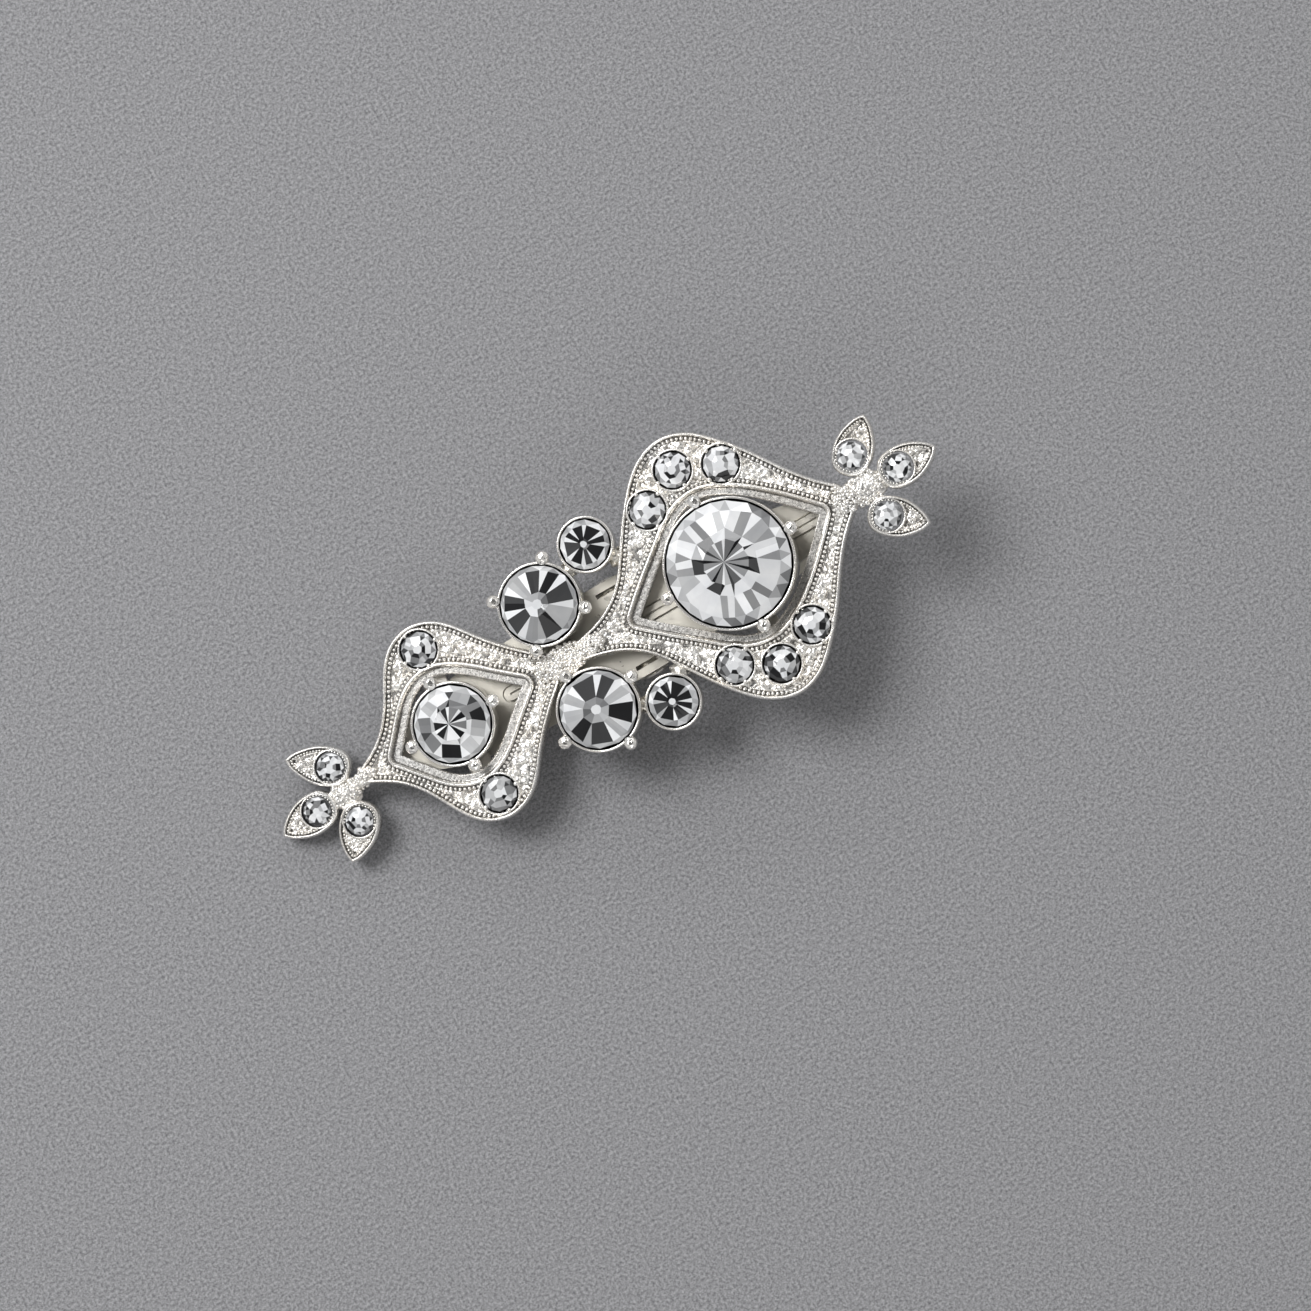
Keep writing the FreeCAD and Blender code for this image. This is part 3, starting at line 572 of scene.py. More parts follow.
# From the edge of the ledge at a window's foot, up its wall to the inner rim.
LEDGE = 0.7
WINDOW_RELIEF = [
    (0, 0.3),
    (0.08, 0.48),
    (0.6, 0.52),
    (0.67, 0.75),
    (0.74, 1.5),
    (0.84, 1.82),
    (0.96, 1.88),
    (1.1, 1.82),
    (1.14, 1.4),
    (1.18, 1.25),
    (1.54, 1.25),
    (1.6, 1.05),
]
LEAF_RELIEF = [
    (0, 1.02),
    (0.07, 1.28),
    (0.17, 1.39),
    (0.27, 1.34),
    (0.31, 0.82),
    (0.38, 0.82),
    (0.66, 0.98),
    (0.78, 0.8),
]


def relief(profile, distance):
    at, z = zip(*profile)
    return np.interp(distance, at, z)


def granules(points, spacing, seed):
    """Height of a ground of rounded grains, from 0 to 1."""
    picker = random.Random(seed)
    low, high = points.min(axis=0), points.max(axis=0)
    area = (high[0] - low[0]) * (high[1] - low[1])
    count = int(area / spacing**2)
    tree = KDTree(count)
    sizes = []
    for i in range(count):
        spot = (picker.uniform(low[0], high[0]), picker.uniform(low[1], high[1]), 0)
        tree.insert(spot, i)
        sizes.append(picker.uniform(0.6, 1.0))
    tree.balance()
    made = np.empty(len(points))
    for n, (x, y) in enumerate(points):
        _, index, far = tree.find((x, y, 0))
        made[n] = sizes[index] * max(0.0, 1 - (far / (spacing * 0.72)) ** 2) ** 0.5
    return made


WINDOW_WALL = 1.1  # the window's wall and inner rim end this far from the ledge's edge
GRANULE, COARSE_GRANULE = 0.5, 0.9  # spacing of the ground's grains
GROUND_LOW = 1.02
SEAT_TOP = 1.76  # of the ring round a flush stone
SEAT_WALL = 0.18  # how far a stone's seat reaches beyond the stone
MILGRAIN_FROM_EDGE = 0.54  # a row's distance inside the outline
MILGRAIN_FROM_WINDOW = 0.65  # and outside the window
MILGRAIN_TOP = 1.42
TRENCH_HALF_WIDTH = 0.21  # trench that the rows lie in, darkened with painted shade


def milgrain(shape, loop, z, radius=GRAIN_RADIUS, pitch=GRAIN_PITCH):
    """A row of small round grains along a loop."""
    spots = resampled(loop, int(length_of(loop) / pitch))
    for x, y in spots:
        swell = random.uniform(0.88, 1.08)
        ball(shape, (x, y, z + random.uniform(-0.02, 0.02)), radius * swell, GRAIN, 0.04)


def seat_ring(shape, x, y, radius, top):
    """The raised ring round a stone that is set in a casting."""
    profile = [
        (radius + 0.04, 0.45),
        (radius + 0.04, top - 0.12),
        (radius + 0.08, top - 0.03),
        (radius + 0.15, top + 0.01),
        (radius + 0.24, top - 0.05),
        (radius + 0.29, top - 0.25),
        (radius + 0.31, 0.45),
    ]
    # painted shade on the ring's inner and outer walls, the top left bright
    lathe(shape, (x, y, 0), profile, 64, [1, 1, 0.3, 0, 0, 0.5, 1])


def stone_place(node):
    low, high = local_box(node)
    return (low[0] + high[0]) / 2, (low[1] + high[1]) / 2, (high[0] - low[0]) / 2


def frame_casting(node, half, window_half, stones, seed, rows):
    """A diamond frame: smooth outer rim, two rows of milgrain, pebbled ground and stone seats."""
    edge_half = spline(half)
    window_loop = mirrored(spline(window_half))
    edge_loop = mirrored(edge_half)
    centre = ((window_half[0][0] + window_half[-1][0]) / 2, 0.0)
    outer = resampled(edge_loop, int(length_of(edge_loop) / FINE))
    angles = np.arctan2(outer[:, 1] - centre[1], outer[:, 0] - centre[0])
    throat_loop = inset(resampled(window_loop, 1600), LEDGE, centre)
    inner = seen_from(throat_loop, centre, angles)
    edge = resampled(edge_loop, 360)
    window = resampled(window_loop, 360)
    throat = resampled(throat_loop, 360)
    seats = [stone_place(s) for s in stones]

    def height(points):
        from_edge = distance_to(edge, points)
        from_throat = distance_to(throat, points)
        rims = np.maximum(relief(EDGE_RELIEF, from_edge), relief(WINDOW_RELIEF, from_throat))
        fine = granules(points, GRANULE, seed)
        coarse = granules(points, COARSE_GRANULE, seed + 1)
        ground = GROUND_LOW + 0.42 * fine + 0.2 * coarse
        from_outer_row = np.abs(from_edge - MILGRAIN_FROM_EDGE)
        from_inner_row = np.abs(from_throat - LEDGE - MILGRAIN_FROM_WINDOW)
        trench = np.minimum(from_outer_row, from_inner_row) < TRENCH_HALF_WIDTH
        plain = (from_throat < WINDOW_WALL) | trench
        z = np.where(plain, rims, np.maximum(rims, ground))
        # painted shade: the low ground and the trenches round the milgrain rows are darkened
        deep = 0.7 * np.clip((1.26 - z) / 0.2, 0, 1)
        deep = np.where(trench, 0.78, deep)
        # painted shade on the window's ledge and wall, dark enough to dull the lamp's highlight
        # there
        ledge = np.where(from_throat > 0.62, 0.8, 0.3)
        deep = np.where(from_throat < 0.76, ledge, deep)
        for x, y, radius in seats:
            far = np.hypot(points[:, 0] - x, points[:, 1] - y) - radius
            skirt = np.clip(1 - np.abs(far - 0.2) / 0.3, 0, 1)
            z = np.maximum(z, 1.1 + 0.5 * skirt)
            z = np.where(far < SEAT_WALL, np.minimum(z, 1.3 - (SEAT_WALL - far)), z)
            z = np.maximum(z, 0.28)
            # painted shadow in the thin gap round each stone
            deep = np.where(far < 0.1, 1.0, deep)
        return z, deep

    shape = Shape()
    band(shape, outer, inner, rows, height)
    milgrain(shape, inset(edge, MILGRAIN_FROM_EDGE, centre), MILGRAIN_TOP)
    milgrain(shape, inset(window, -MILGRAIN_FROM_WINDOW, centre), MILGRAIN_TOP)
    for x, y, radius in seats:
        seat_ring(shape, x, y, radius, SEAT_TOP)
        bright_cuts(shape, x, y, radius, seed)
    shape.piece(node + "_casting", node, SILVER)


def bright_cuts(shape, x, y, radius, seed):
    """Small grains raised against a set stone, that hold it."""
    picker = random.Random(int(seed + x * 10))
    for n in range(4):
        turn = picker.uniform(0, 0.5) + n * math.pi / 2
        reach = radius + 0.05
        spot = (x + reach * math.cos(turn), y + reach * math.sin(turn), SEAT_TOP + 0.02)
        ball(shape, spot, 0.2, GRAIN, 0.0, (1, 1, 0.6))


def leaf_loop(x, y, direction, reach):
    """A leaf's outline: round behind its stone and pointed in front."""
    width = LEAF_HALF_WIDTH
    stretch = reach / LEAF_REACH
    half = [
        (-width, 0),
        (-0.72 * width, 0.74 * width),
        (0, width),
        (1.55 * stretch, 0.93 * width),
        (2.85 * stretch, 0.6 * width),
        (3.6 * stretch, 0.27 * width),
        (reach, 0),
    ]
    loop = mirrored(spline(half, start=(0, 1)))
    turn = math.radians(direction)
    matrix = np.array([[math.cos(turn), -math.sin(turn)], [math.sin(turn), math.cos(turn)]])
    return loop @ matrix.T + np.array([x, y])


def cluster(shape, centre, reach, tops, count, seed, sizes=(0.14, 0.32)):
    """Rough grains over an oval spot; tops are the heights in its middle and at its edge."""
    picker = random.Random(seed)
    for n in range(count):
        turn = n * 2.4
        far = ((n + 0.5) / count) ** 0.5
        radius = picker.uniform(*sizes)
        x = centre[0] + reach[0] * far * math.cos(turn) + picker.uniform(-0.1, 0.1)
        y = centre[1] + reach[1] * far * math.sin(turn) + picker.uniform(-0.1, 0.1)
        z = tops[1] + (tops[0] - tops[1]) * (1 - far**2) - radius * picker.uniform(0.8, 1.3)
        ball(shape, (x, y, z), radius, BALL, picker.choice((0.0, 0.0, 0.1, 0.35)))


PIT_RADIUS = 0.15  # small pit behind a leaf's point, darkened with painted shade
PIT_FROM_POINT = 0.85
LEAF_GRANULE = 0.4


def sprig_casting(side, hub, stem_from, stem_half):
    """Three leaves on a lumpy hub, with a stem to the frame."""
    shape = Shape()
    for name, direction, reach in LEAVES[side]:
        x, y, radius = stone_place(f"{side}_leaf_stone_{name}")
        loop = leaf_loop(x, y, direction, reach)
        outer = resampled(loop, 190)
        angles = np.arctan2(outer[:, 1] - y, outer[:, 0] - x)
        bore = radius + 0.1
        inner = np.array([x, y]) + bore * np.column_stack([np.cos(angles), np.sin(angles)])
        edge = resampled(loop, 160)
        seed = direction + 400
        turn = math.radians(direction)
        way = np.array([math.cos(turn), math.sin(turn)])
        pit = np.array([x, y]) + (reach - PIT_FROM_POINT) * way

        def height(points, edge=edge, seed=seed, pit=pit):
            from_edge = distance_to(edge, points)
            rims = relief(LEAF_RELIEF, from_edge)
            ground = 0.7 + 0.42 * granules(points, LEAF_GRANULE, seed)
            z = np.maximum(rims, ground)
            from_pit = np.hypot(*(points - pit).T)
            z = np.where(from_pit < PIT_RADIUS, np.minimum(z, 0.6), z)
            groove = np.clip((0.12 - np.abs(from_edge - 0.34)) / 0.06, 0, 1)
            # painted shade on the low ground, in the groove along the rim, and in the pit
            deep = np.maximum(0.6 * np.clip((0.98 - z) / 0.2, 0, 1), 0.9 * groove)
            return z, np.where(from_pit < PIT_RADIUS, 0.7, deep)

        band(shape, outer, inner, 30, height)
        milgrain(shape, inset(edge, 0.46, (x, y)), 1.12, 0.13, 0.29)
        seat_ring(shape, x, y, radius, 1.3)
    hub_x, hub_y = hub
    lump(shape, (hub_x, hub_y, 0.62), (1.45, 1.45, 0.6), 0.3, direction)
    lumps = 6
    for n in range(lumps):
        t = (n + 0.5) / lumps
        spot = (hub_x + (stem_from - hub_x) * t, hub_y * (1 - t), 0.75)
        lump(shape, spot, (0.7, stem_half, 0.66), 0.2, n, 0.15)
    inwards = 1 if stem_from > hub_x else -1
    middle = ((hub_x + stem_from) / 2, hub_y / 2)
    cluster(shape, middle, (abs(stem_from - hub_x) / 2 + 0.8, stem_half), (1.5, 1.25), 60, 3)
    cluster(shape, (hub_x, hub_y), (1.3, 1.3), (1.4, 1.1), 50, 5)
    end = (stem_from + inwards * 0.3, 0)
    cluster(shape, end, (1.0, stem_half), (2.0, 1.75), 45, 7)
    shape.piece(f"{side}_sprig_casting", f"{side}_sprig", SILVER)


def boss_casting():
    """The rough cluster of grains between the two frames."""
    low, high = local_box("centre_boss")
    middle = (low + high) / 2
    half = (high - low) / 2
    half[0] += 0.5
    shape = Shape()
    lump(shape, (middle[0], middle[1], 0.86), (half[0], half[1] * 0.97, 0.86), 0.16, 5, 0.3)
    cluster(shape, (middle[0], middle[1]), (half[0] + 0.2, 1.45), (2.15, 1.85), 120, 11)
    cluster(shape, (middle[0] + 2.4, 0), (1.7, 0.8), (2.1, 1.9), 60, 12)
    cluster(shape, (middle[0] - 2.0, 0), (1.0, 1.2), (2.1, 1.85), 40, 13)
    shape.piece("centre_boss_casting", "centre_boss", SILVER)


# ---- stones and cups -------------------------------------------------------------------------


# The painted reflections of a stone's facets, as greys from 0, black, to 1, white. A stone has a
# star or a table in the middle, spokes round it, points between the spokes, and small facets along
# the girdle.
BLACK, DARK, GREY, PALE, WHITE = 0.01, 0.06, 0.24, 0.5, 0.9
TABLE = 0.85
LARGE_CUT = {
    "star": [GREY, 0.3, PALE, 0.15, 0.3],
    "ray": [BLACK, WHITE, BLACK, WHITE, DARK],
    "chip": [BLACK, BLACK, DARK, GREY, WHITE],
    "inner": [WHITE, PALE, WHITE, DARK],
    "outer": [PALE, WHITE, GREY, WHITE, WHITE, 0.35],
    "point": [WHITE, WHITE, PALE, 0.35],
    "girdle": [WHITE, PALE, WHITE, GREY, 0.65],
}
FRAME_CUT = {
    "star": [GREY, WHITE, BLACK, PALE, GREY, BLACK],
    "ray": [WHITE, WHITE, PALE],
    "chip": [BLACK, WHITE, GREY],
    "inner": [WHITE, PALE, GREY, WHITE],
    "outer": [WHITE, PALE, WHITE, GREY, BLACK],
    "point": [BLACK, WHITE, DARK, PALE, WHITE],
    "girdle": [PALE, WHITE, PALE, 0.7],
}
SIDE_CUT = {
    "inner": [GREY, WHITE, 0.15, PALE, 0.35],
    "outer": [BLACK, BLACK, GREY, DARK, PALE, BLACK, 0.4],
    "point": [WHITE, WHITE, WHITE, PALE],
    "girdle": [PALE, WHITE, 0.35, 0.65],
}
END_CUT = {
    "inner": [BLACK, BLACK, DARK],
    "outer": [BLACK, BLACK, BLACK, DARK, BLACK],
    "point": [WHITE, WHITE, PALE, WHITE],
    "girdle": [WHITE, PALE, 0.35, 0.65],
}
MELEE_CUT = {
    "inner": [PALE, WHITE, GREY, WHITE, BLACK],
    "outer": [PALE, BLACK, WHITE, GREY, WHITE, WHITE],
    "point": [BLACK, WHITE, DARK, PALE],
    "girdle": [PALE, GREY, WHITE, DARK],
}


def cut_stone(node, cut, count, reaches, gap, turn=0.0, table=0.34, slim=0.99, pairing=0.85):
    """A round cut stone of flat facets, each painted with its own grey as a painted reflection, on
    a pointed base.

    reaches are the star's or table's radius, the foot of the points and the crest of the spokes,
    as shares of the stone's. gap is how much of a spoke's turn the points take at the crest, and
    pairing how often the two halves of a spoke share a tone.
    """
    low, high = local_box(node)
    x, y = (low[0] + high[0]) / 2, (low[1] + high[1]) / 2
    radius = (high[0] - low[0]) / 2 * slim
    girdle_low = low[2] + (high[2] - low[2]) * 0.64
    girdle_high = girdle_low + 0.1
    picker = random.Random(node)
    places, faces, tones = [], [], []

    def spot(reach, angle, lift=0.0):
        fall = np.clip((reach - table) / (1 - table), 0, 1)
        z = high[2] - (high[2] - girdle_high) * fall + lift * radius
        x_at = x + reach * radius * math.cos(angle)
        places.append((x_at, y + reach * radius * math.sin(angle), z))
        return len(places) - 1

    def facet(kind, *corners, tone=None):
        faces.append(corners)
        base = picker.choice(cut[kind]) if tone is None else tone
        tones.append(base * picker.uniform(0.85, 1.1))

    def halfway(a, b):
        places.append(tuple((p + q) / 2 for p, q in zip(places[a], places[b])))
        return len(places) - 1

    star, foot, crest = reaches
    step = 2 * math.pi / count
    ways = [turn + (k + picker.uniform(-0.2, 0.2)) * step for k in range(count)]
    crests = [crest + picker.uniform(-0.05, 0.03) for _ in ways]
    ring_a = [spot(star * picker.uniform(0.94, 1.06), way) for way in ways]
    ring_p = [spot(foot + picker.uniform(0, 0.1), way, 0.012) for way in ways]
    before = [spot(top, way - gap * step / 2, 0.02) for way, top in zip(ways, crests)]
    after = [spot(top, way + gap * step / 2, 0.02) for way, top in zip(ways, crests)]
    rim_a = [spot(1, way) for way in ways]
    rim_b = [spot(1, way + step / 2) for way in ways]
    if "star" in cut:
        heart = spot(0.04, turn + 2.2)
        rays = [spot(star, way + 0.3 * step) for way in ways]
    else:
        faces.append(tuple(ring_a))
        tones.append(TABLE)
    for k in range(count):
        n = (k + 1) % count
        foot_mid = halfway(ring_p[k], ring_p[n])
        crest_mid = halfway(after[k], before[n])
        if "star" in cut:
            facet("ray", heart, ring_a[k], rays[k])
            facet("star", heart, rays[k], ring_a[n])
            facet("chip", ring_a[k], ring_p[k], rays[k])
            facet("inner", rays[k], ring_p[k], foot_mid, ring_p[n], ring_a[n])
        else:
            facet("inner", ring_a[k], ring_p[k], foot_mid, ring_p[n], ring_a[n])
        spoke = picker.choice(cut["outer"]) if picker.random() < pairing else None
        facet("outer", ring_p[k], after[k], crest_mid, foot_mid, tone=spoke)
        facet("outer", foot_mid, crest_mid, before[n], ring_p[n], tone=spoke)
        facet("point", ring_p[k], before[k], after[k])
        facet("girdle", before[k], rim_a[k], after[k])
        facet("girdle", after[k], rim_a[k], rim_b[k])
        facet("girdle", after[k], rim_b[k], before[n], crest_mid)
        facet("girdle", before[n], rim_b[k], rim_a[n])
    rim = [i for pair in zip(rim_a, rim_b) for i in pair]
    base = []
    for i in rim:
        base.append(len(places))
        places.append((places[i][0], places[i][1], girdle_low))
    tip = len(places)
    places.append((x, y, low[2]))
    for k in range(len(rim)):
        n = (k + 1) % len(rim)
        facet("girdle", rim[k], base[k], base[n], rim[n])
        facet("girdle", base[k], tip, base[n])
    shape = Shape()
    shape.add(places, faces)
    shape.tones = tones
    shape.piece(node + "_cut", node, CRYSTAL, smooth=False)


CUP_WALL = 0.33
GIRDLE_SHARE = 0.6  # height of a stone's girdle, as a share of the stone's
PRONG_RADIUS = 0.3


def cup_bezel(node, stone, first_prong):
    """A stone's cup: a spun wall with a rounded lip, and four ball-ended prongs when first_prong is
    given.
    """
    x, y, radius = stone_place(stone)
    low, high = local_box(stone)
    rim = low[2] + (high[2] - low[2]) * GIRDLE_SHARE + 0.25
    outer = radius + CUP_WALL
    shape = Shape()
    profile = [
        (0.02, 0.0),
        (outer - 0.22, 0.0),
        (outer - 0.06, 0.08),
        (outer - 0.02, 0.3),
        (outer, rim * 0.6),
        (outer, rim - 0.12),
        (outer - 0.04, rim - 0.03),
        (outer - 0.12, rim),
        (outer - 0.2, rim - 0.03),
        (outer - 0.24, rim - 0.1),
        (outer - 0.26, rim - 0.4),
        (radius * 0.55, low[2] + 0.3),
        (0.02, low[2] - 0.15),
    ]
    # painted shade inside the cup under the stone and round its foot; the lip stays bright
    lathe(shape, (x, y, 0), profile, 96, [0.3] * 4 + [0.1, 0, 0, 0, 0, 0.5, 1, 1, 1])
    if first_prong is not None:
        for n in range(4):
            turn = math.radians(first_prong + 90 * n)
            out = np.array([math.cos(turn), math.sin(turn), 0])
            foot = np.array([x, y, 0.15]) + out * (outer + 0.2)
            head = np.array([x, y, rim]) + out * (outer + 0.34)
            tube(shape, np.linspace(foot, head, 8), PRONG_RADIUS)
            lump(shape, head + np.array([0, 0, 0.06]), (0.62, 0.62, 0.5), 0.08, n, 0.0)
    shape.piece(node + "_bezel", node, BEZEL)


# ---- the clip --------------------------------------------------------------------------------


def solder_lumps():
    """Solder between the blade and the ornament: flattened lumps where the CAD has its pads."""
    mesh = frame["nodes"]["solder_pads"].data
    shape = Shape()
    for n, group in enumerate(islands(mesh)):
        low, high = group.min(axis=0), group.max(axis=0)
        middle, half = (low + high) / 2, (high - low) / 2
        lump(shape, middle, half * np.array([1.0, 1.0, 1.02]), 0.1, n)
    shape.piece("solder_lumps", "solder_pads", SOLDER)
    mesh = frame["nodes"]["cup_links"].data
    shape = Shape()
    for n, group in enumerate(islands(mesh)):
        low, high = group.min(axis=0), group.max(axis=0)
        lump(shape, (low + high) / 2, (high - low) / 2, 0.12, n + 20)
    shape.piece("cup_link_lumps", "cup_links", SOLDER)


def islands(mesh):
    """The separate solids of a CAD node, as arrays of places in the ornament's frame."""
    owner = list(range(len(mesh.vertices)))

    def root(i):
        while owner[i] != i:
            owner[i] = owner[owner[i]]
            i = owner[i]
        return i

    for edge in mesh.edges:
        a, b = (root(i) for i in edge.vertices)
        owner[a] = b
    groups = {}
    for i, vertex in enumerate(mesh.vertices):
        groups.setdefault(root(i), []).append(UNREST @ vertex.co)
    joined = []
    for group in groups.values():
        places = np.array([p[:] for p in group])
        for other in joined:
            if np.linalg.norm(other.mean(axis=0)[:2] - places.mean(axis=0)[:2]) < 0.5:
                other.resize((len(other) + len(places), 3), refcheck=False)
                other[-len(places) :] = places
                break
        else:
            joined.append(places.copy())
    return joined


def rivet():
    """The hinge's rivet, with a domed head at each end."""
    low, high = local_box("hinge_pin")
    middle = (low + high) / 2
    reach = high[1] - middle[1]
    radius = (high[0] - low[0]) / 2
    half = [
        (0.0, reach),
        (radius * 0.5, reach - 0.03),
        (radius * 0.85, reach - 0.12),
        (radius, reach - 0.28),
        (radius, reach - 0.4),
        (0.7, reach - 0.4),
        (0.7, 0.0),
    ]
    half = [(max(r, 0.01), z) for r, z in half]
    profile = half + [(r, -z) for r, z in half[::-1][1:]]
    shape = Shape()
    lathe(shape, (0, 0, 0), profile, 48)
    turned = shape.places[0]
    shape.places[0] = np.column_stack([turned[:, 0], turned[:, 2], turned[:, 1]]) + middle
    shape.piece("hinge_rivet", "hinge_pin", PIN_METAL)


def coil_spring():
    """The torsion spring: a wound wire on the rivet with a leg along each lever."""
    wire = 0.3
    radius = 1.15
    slope = math.radians(10)
    turns = 3.5 - slope / (2 * math.pi)
    leg = 7.0
    width = 1.6
    first = -math.pi / 2 - slope
    steps = 160
    path = []
    for n in range(steps + 1):
        t = n / steps
        turn = first - 2 * math.pi * turns * t
        spot = (radius * math.cos(turn), -width + 2 * width * t, radius * math.sin(turn))
        path.append(np.array(spot) + np.array(PIN))
    start_way = path[0] - path[1]
    end_way = path[-1] - path[-2]
    legs = []
    for root, way in ((path[0], start_way), (path[-1], end_way)):
        way[1] = 0
        way /= np.linalg.norm(way)
        legs.append([root + way * leg * (k + 1) / 12 for k in range(12)])
    shape = Shape()
    tube(shape, [*legs[0][::-1], *path, *legs[1]], wire, 12)
    thing = shape.piece("wound_spring", "torsion_spring", WIRE, body=None)
    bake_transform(thing)


def finish_cad_node(node, material, bevel=0.07):
    """Gives a CAD node that is kept a material and softly rounded edges."""
    thing = frame["nodes"][node]
    thing.data.materials.clear()
    thing.data.materials.append(material)
    rounding = thing.modifiers.new("rounding", "BEVEL")
    rounding.width = bevel * MM
    rounding.segments = 2
    rounding.limit_method = "ANGLE"
    rounding.angle_limit = math.radians(50)
    rounding.use_clamp_overlap = True


# ---- assembly --------------------------------------------------------------------------------

SMALL_FLUSH = [f"small_frame_flush_stone_{end}" for end in ("upper", "lower")]
LARGE_FLUSH = [
    f"large_frame_flush_stone_{place}_{end}"
    for end in ("upper", "lower")
    for place in ("inner", "middle", "outer")
]
frame_casting("small_frame", SMALL_OUTLINE, SMALL_WINDOW, SMALL_FLUSH, 21, 62)
frame_casting("large_frame", LARGE_OUTLINE, LARGE_WINDOW, LARGE_FLUSH, 31, 76)
sprig_casting("left", (-27.4, -0.55), SMALL_OUTLINE[0][0], 0.7)
sprig_casting("right", (28.3, 0.0), LARGE_OUTLINE[-1][0], 1.3)
boss_casting()

CUPS = [("large", 0), ("small_frame", 0), ("upper_side", 57), ("lower_side", 15)]
for name, prong in [*CUPS, ("upper_end", None), ("lower_end", None)]:
    cup_bezel(name + "_cup", name + "_stone", prong)
cut_stone("large_stone", LARGE_CUT, 13, (0.36, 0.47, 0.86), 0.42, 0.1, 0.435, pairing=0.3)
cut_stone("small_frame_stone", FRAME_CUT, 9, (0.44, 0.54, 0.88), 0.4, 0.35, pairing=0.5)
cut_stone("upper_side_stone", SIDE_CUT, 9, (0.13, 0.27, 0.92), 0.36, 0.2)
cut_stone("lower_side_stone", SIDE_CUT, 9, (0.13, 0.3, 0.92), 0.36, 0.5)
cut_stone("upper_end_stone", END_CUT, 8, (0.14, 0.2, 0.82), 0.3, 0.15, 0.34)
cut_stone("lower_end_stone", END_CUT, 8, (0.14, 0.2, 0.8), 0.3, 0.4, 0.34)
for n, name in enumerate([*SMALL_FLUSH, *LARGE_FLUSH]):
    cut_stone(name, MELEE_CUT, 7, (0.26, 0.46, 0.8), 0.45, n * 0.37, table=0.41, slim=0.95)
for side in ("left", "right"):
    for n, (name, _, _) in enumerate(LEAVES[side]):
        stone = f"{side}_leaf_stone_{name}"
        cut_stone(stone, MELEE_CUT, 7, (0.26, 0.46, 0.8), 0.45, n * 0.51, table=0.41, slim=0.91)

solder_lumps()
rivet()
coil_spring()
finish_cad_node("upper_blade", BLADE)
finish_cad_node("lower_blade", BLADE)
finish_cad_node("front_cross_bar", BAR)
finish_cad_node("rear_cross_bar", BAR)

# ---- floor, light and camera -----------------------------------------------------------------


def floor():
    """A plain pale table top with a faint felt texture."""
    n = Nodes("table_top")
    fibres = n.noise(3.6, 5, 0.85)
    shade = n.ramp(fibres, [(0.37, (0.12, 0.12, 0.128)), (0.63, (0.41, 0.41, 0.42))])
    n.finish(Base_Color=shade, Roughness=0.95, Normal=n.bump(fibres, 0.12, 0.04))
    n.shader.inputs["Specular IOR Level"].default_value = 0.2
    bpy.ops.mesh.primitive_plane_add(size=4.0)
    top = bpy.context.object
    top.name = "table_top"
    top.data.materials.append(n.material)


def softbox(name, azimuth, elevation, far, size, power, colour=(1, 1, 1)):
    """A large soft lamp that faces the clip; azimuth is from +X, anticlockwise from above."""
    lamp = bpy.data.lights.new(name, "AREA")
    lamp.shape = "RECTANGLE"
    lamp.size, lamp.size_y = size
    lamp.energy = power
    lamp.color = colour
    thing = bpy.data.objects.new(name, lamp)
    a, e = math.radians(azimuth), math.radians(elevation)
    spot = Vector((math.cos(a) * math.cos(e), math.sin(a) * math.cos(e), math.sin(e))) * far
    thing.location = spot
    thing.rotation_euler = (-spot).to_track_quat("-Z", "Y").to_euler()
    bpy.context.scene.collection.objects.link(thing)


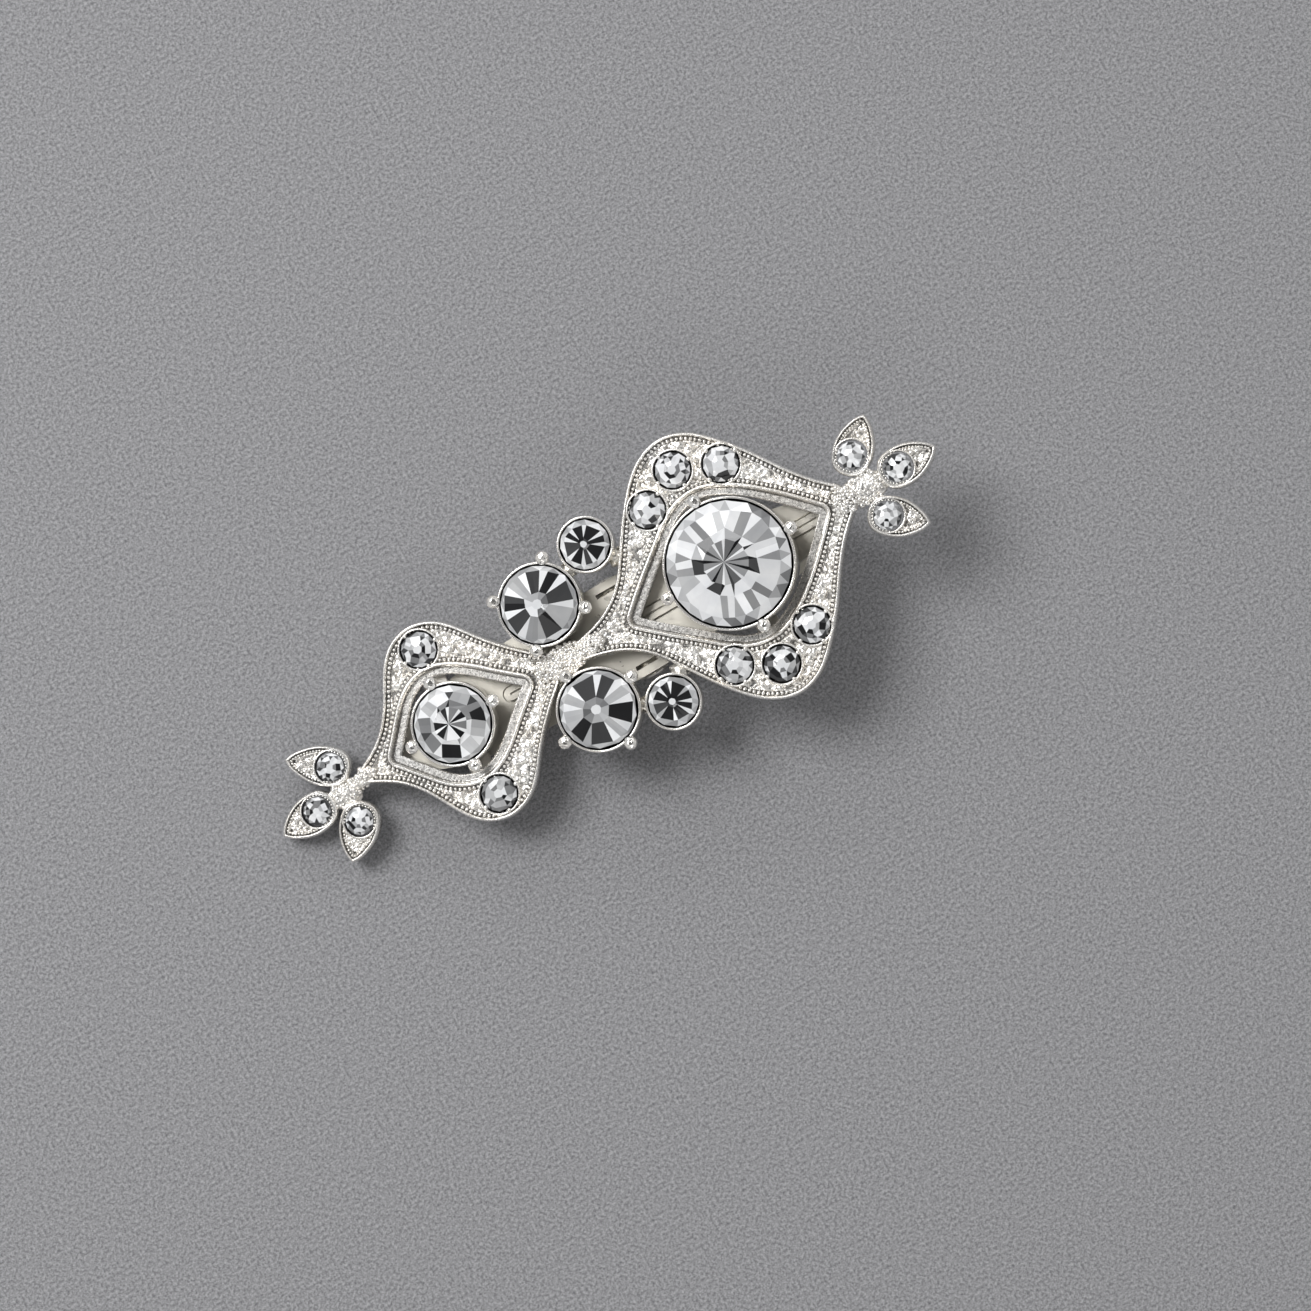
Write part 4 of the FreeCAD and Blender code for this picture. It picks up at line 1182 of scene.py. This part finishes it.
def surroundings():
    """A pale room round the softboxes, dark straight overhead."""
    world = bpy.data.worlds.new("room")
    world.use_nodes = True
    tree = world.node_tree
    direction = tree.nodes.new("ShaderNodeTexCoord")
    parts = tree.nodes.new("ShaderNodeSeparateXYZ")
    ramp = tree.nodes.new("ShaderNodeValToRGB")
    stops = [(0.0, 0.95), (0.3, 0.85), (0.6, 0.62), (0.85, 0.8), (0.93, 0.4), (0.96, 0.02)]
    ends = ramp.color_ramp.elements
    while len(ends) < len(stops):
        ends.new(0.5)
    for element, (at, grey) in zip(ends, stops):
        element.position = at
        element.color = (grey, grey, grey, 1)
    tree.links.new(direction.outputs["Generated"], parts.inputs["Vector"])
    tree.links.new(parts.outputs["Z"], ramp.inputs["Fac"])
    shade = tree.nodes["Background"]
    tree.links.new(ramp.outputs["Color"], shade.inputs["Color"])
    shade.inputs["Strength"].default_value = 0.62
    bpy.context.scene.world = world


# The picture's upward direction is this many degrees from +Y, towards +X.
PICTURE_TURN = 29.34
ELEVATION = 85  # of the camera over the table, in degrees
FAR = 0.45  # metres from the camera to the clip
VIEW_CENTRE = (5.2, -1.6)  # millimetres from the clip's middle, to the right and up
FIELD = 119.2 * MM  # width of the view at the clip


def camera():
    turn = math.radians(-PICTURE_TURN)
    right = Vector((math.cos(turn), math.sin(turn), 0))
    up = Vector((-math.sin(turn), math.cos(turn), 0))
    e = math.radians(ELEVATION)
    towards = -up * math.cos(e) + Vector((0, 0, 1)) * math.sin(e)
    aside = right * VIEW_CENTRE[0] + up * VIEW_CENTRE[1]
    middle = REST @ Vector((0, 0.3, 1.0)) + aside * MM
    lens = bpy.data.cameras.new("camera")
    lens.sensor_width = 36
    lens.lens = 36 * FAR / FIELD
    lens.clip_start = 0.01
    thing = bpy.data.objects.new("camera", lens)
    facing = Matrix((right, towards.cross(right), towards)).transposed()
    thing.matrix_world = Matrix.Translation(middle + towards * FAR) @ facing.to_4x4()
    bpy.context.scene.collection.objects.link(thing)
    bpy.context.scene.camera = thing


floor()
surroundings()
softbox("key", 124, 54, 0.8, (0.36, 0.36), 4.7)
softbox("fill", 20, 35, 1.0, (0.7, 0.25), 0.8)
softbox("back", 80, 30, 1.0, (0.8, 0.2), 1.2)
softbox("front", 250, 40, 1.0, (0.6, 0.2), 0.8)
camera()
bpy.context.scene.view_settings.view_transform = "Standard"
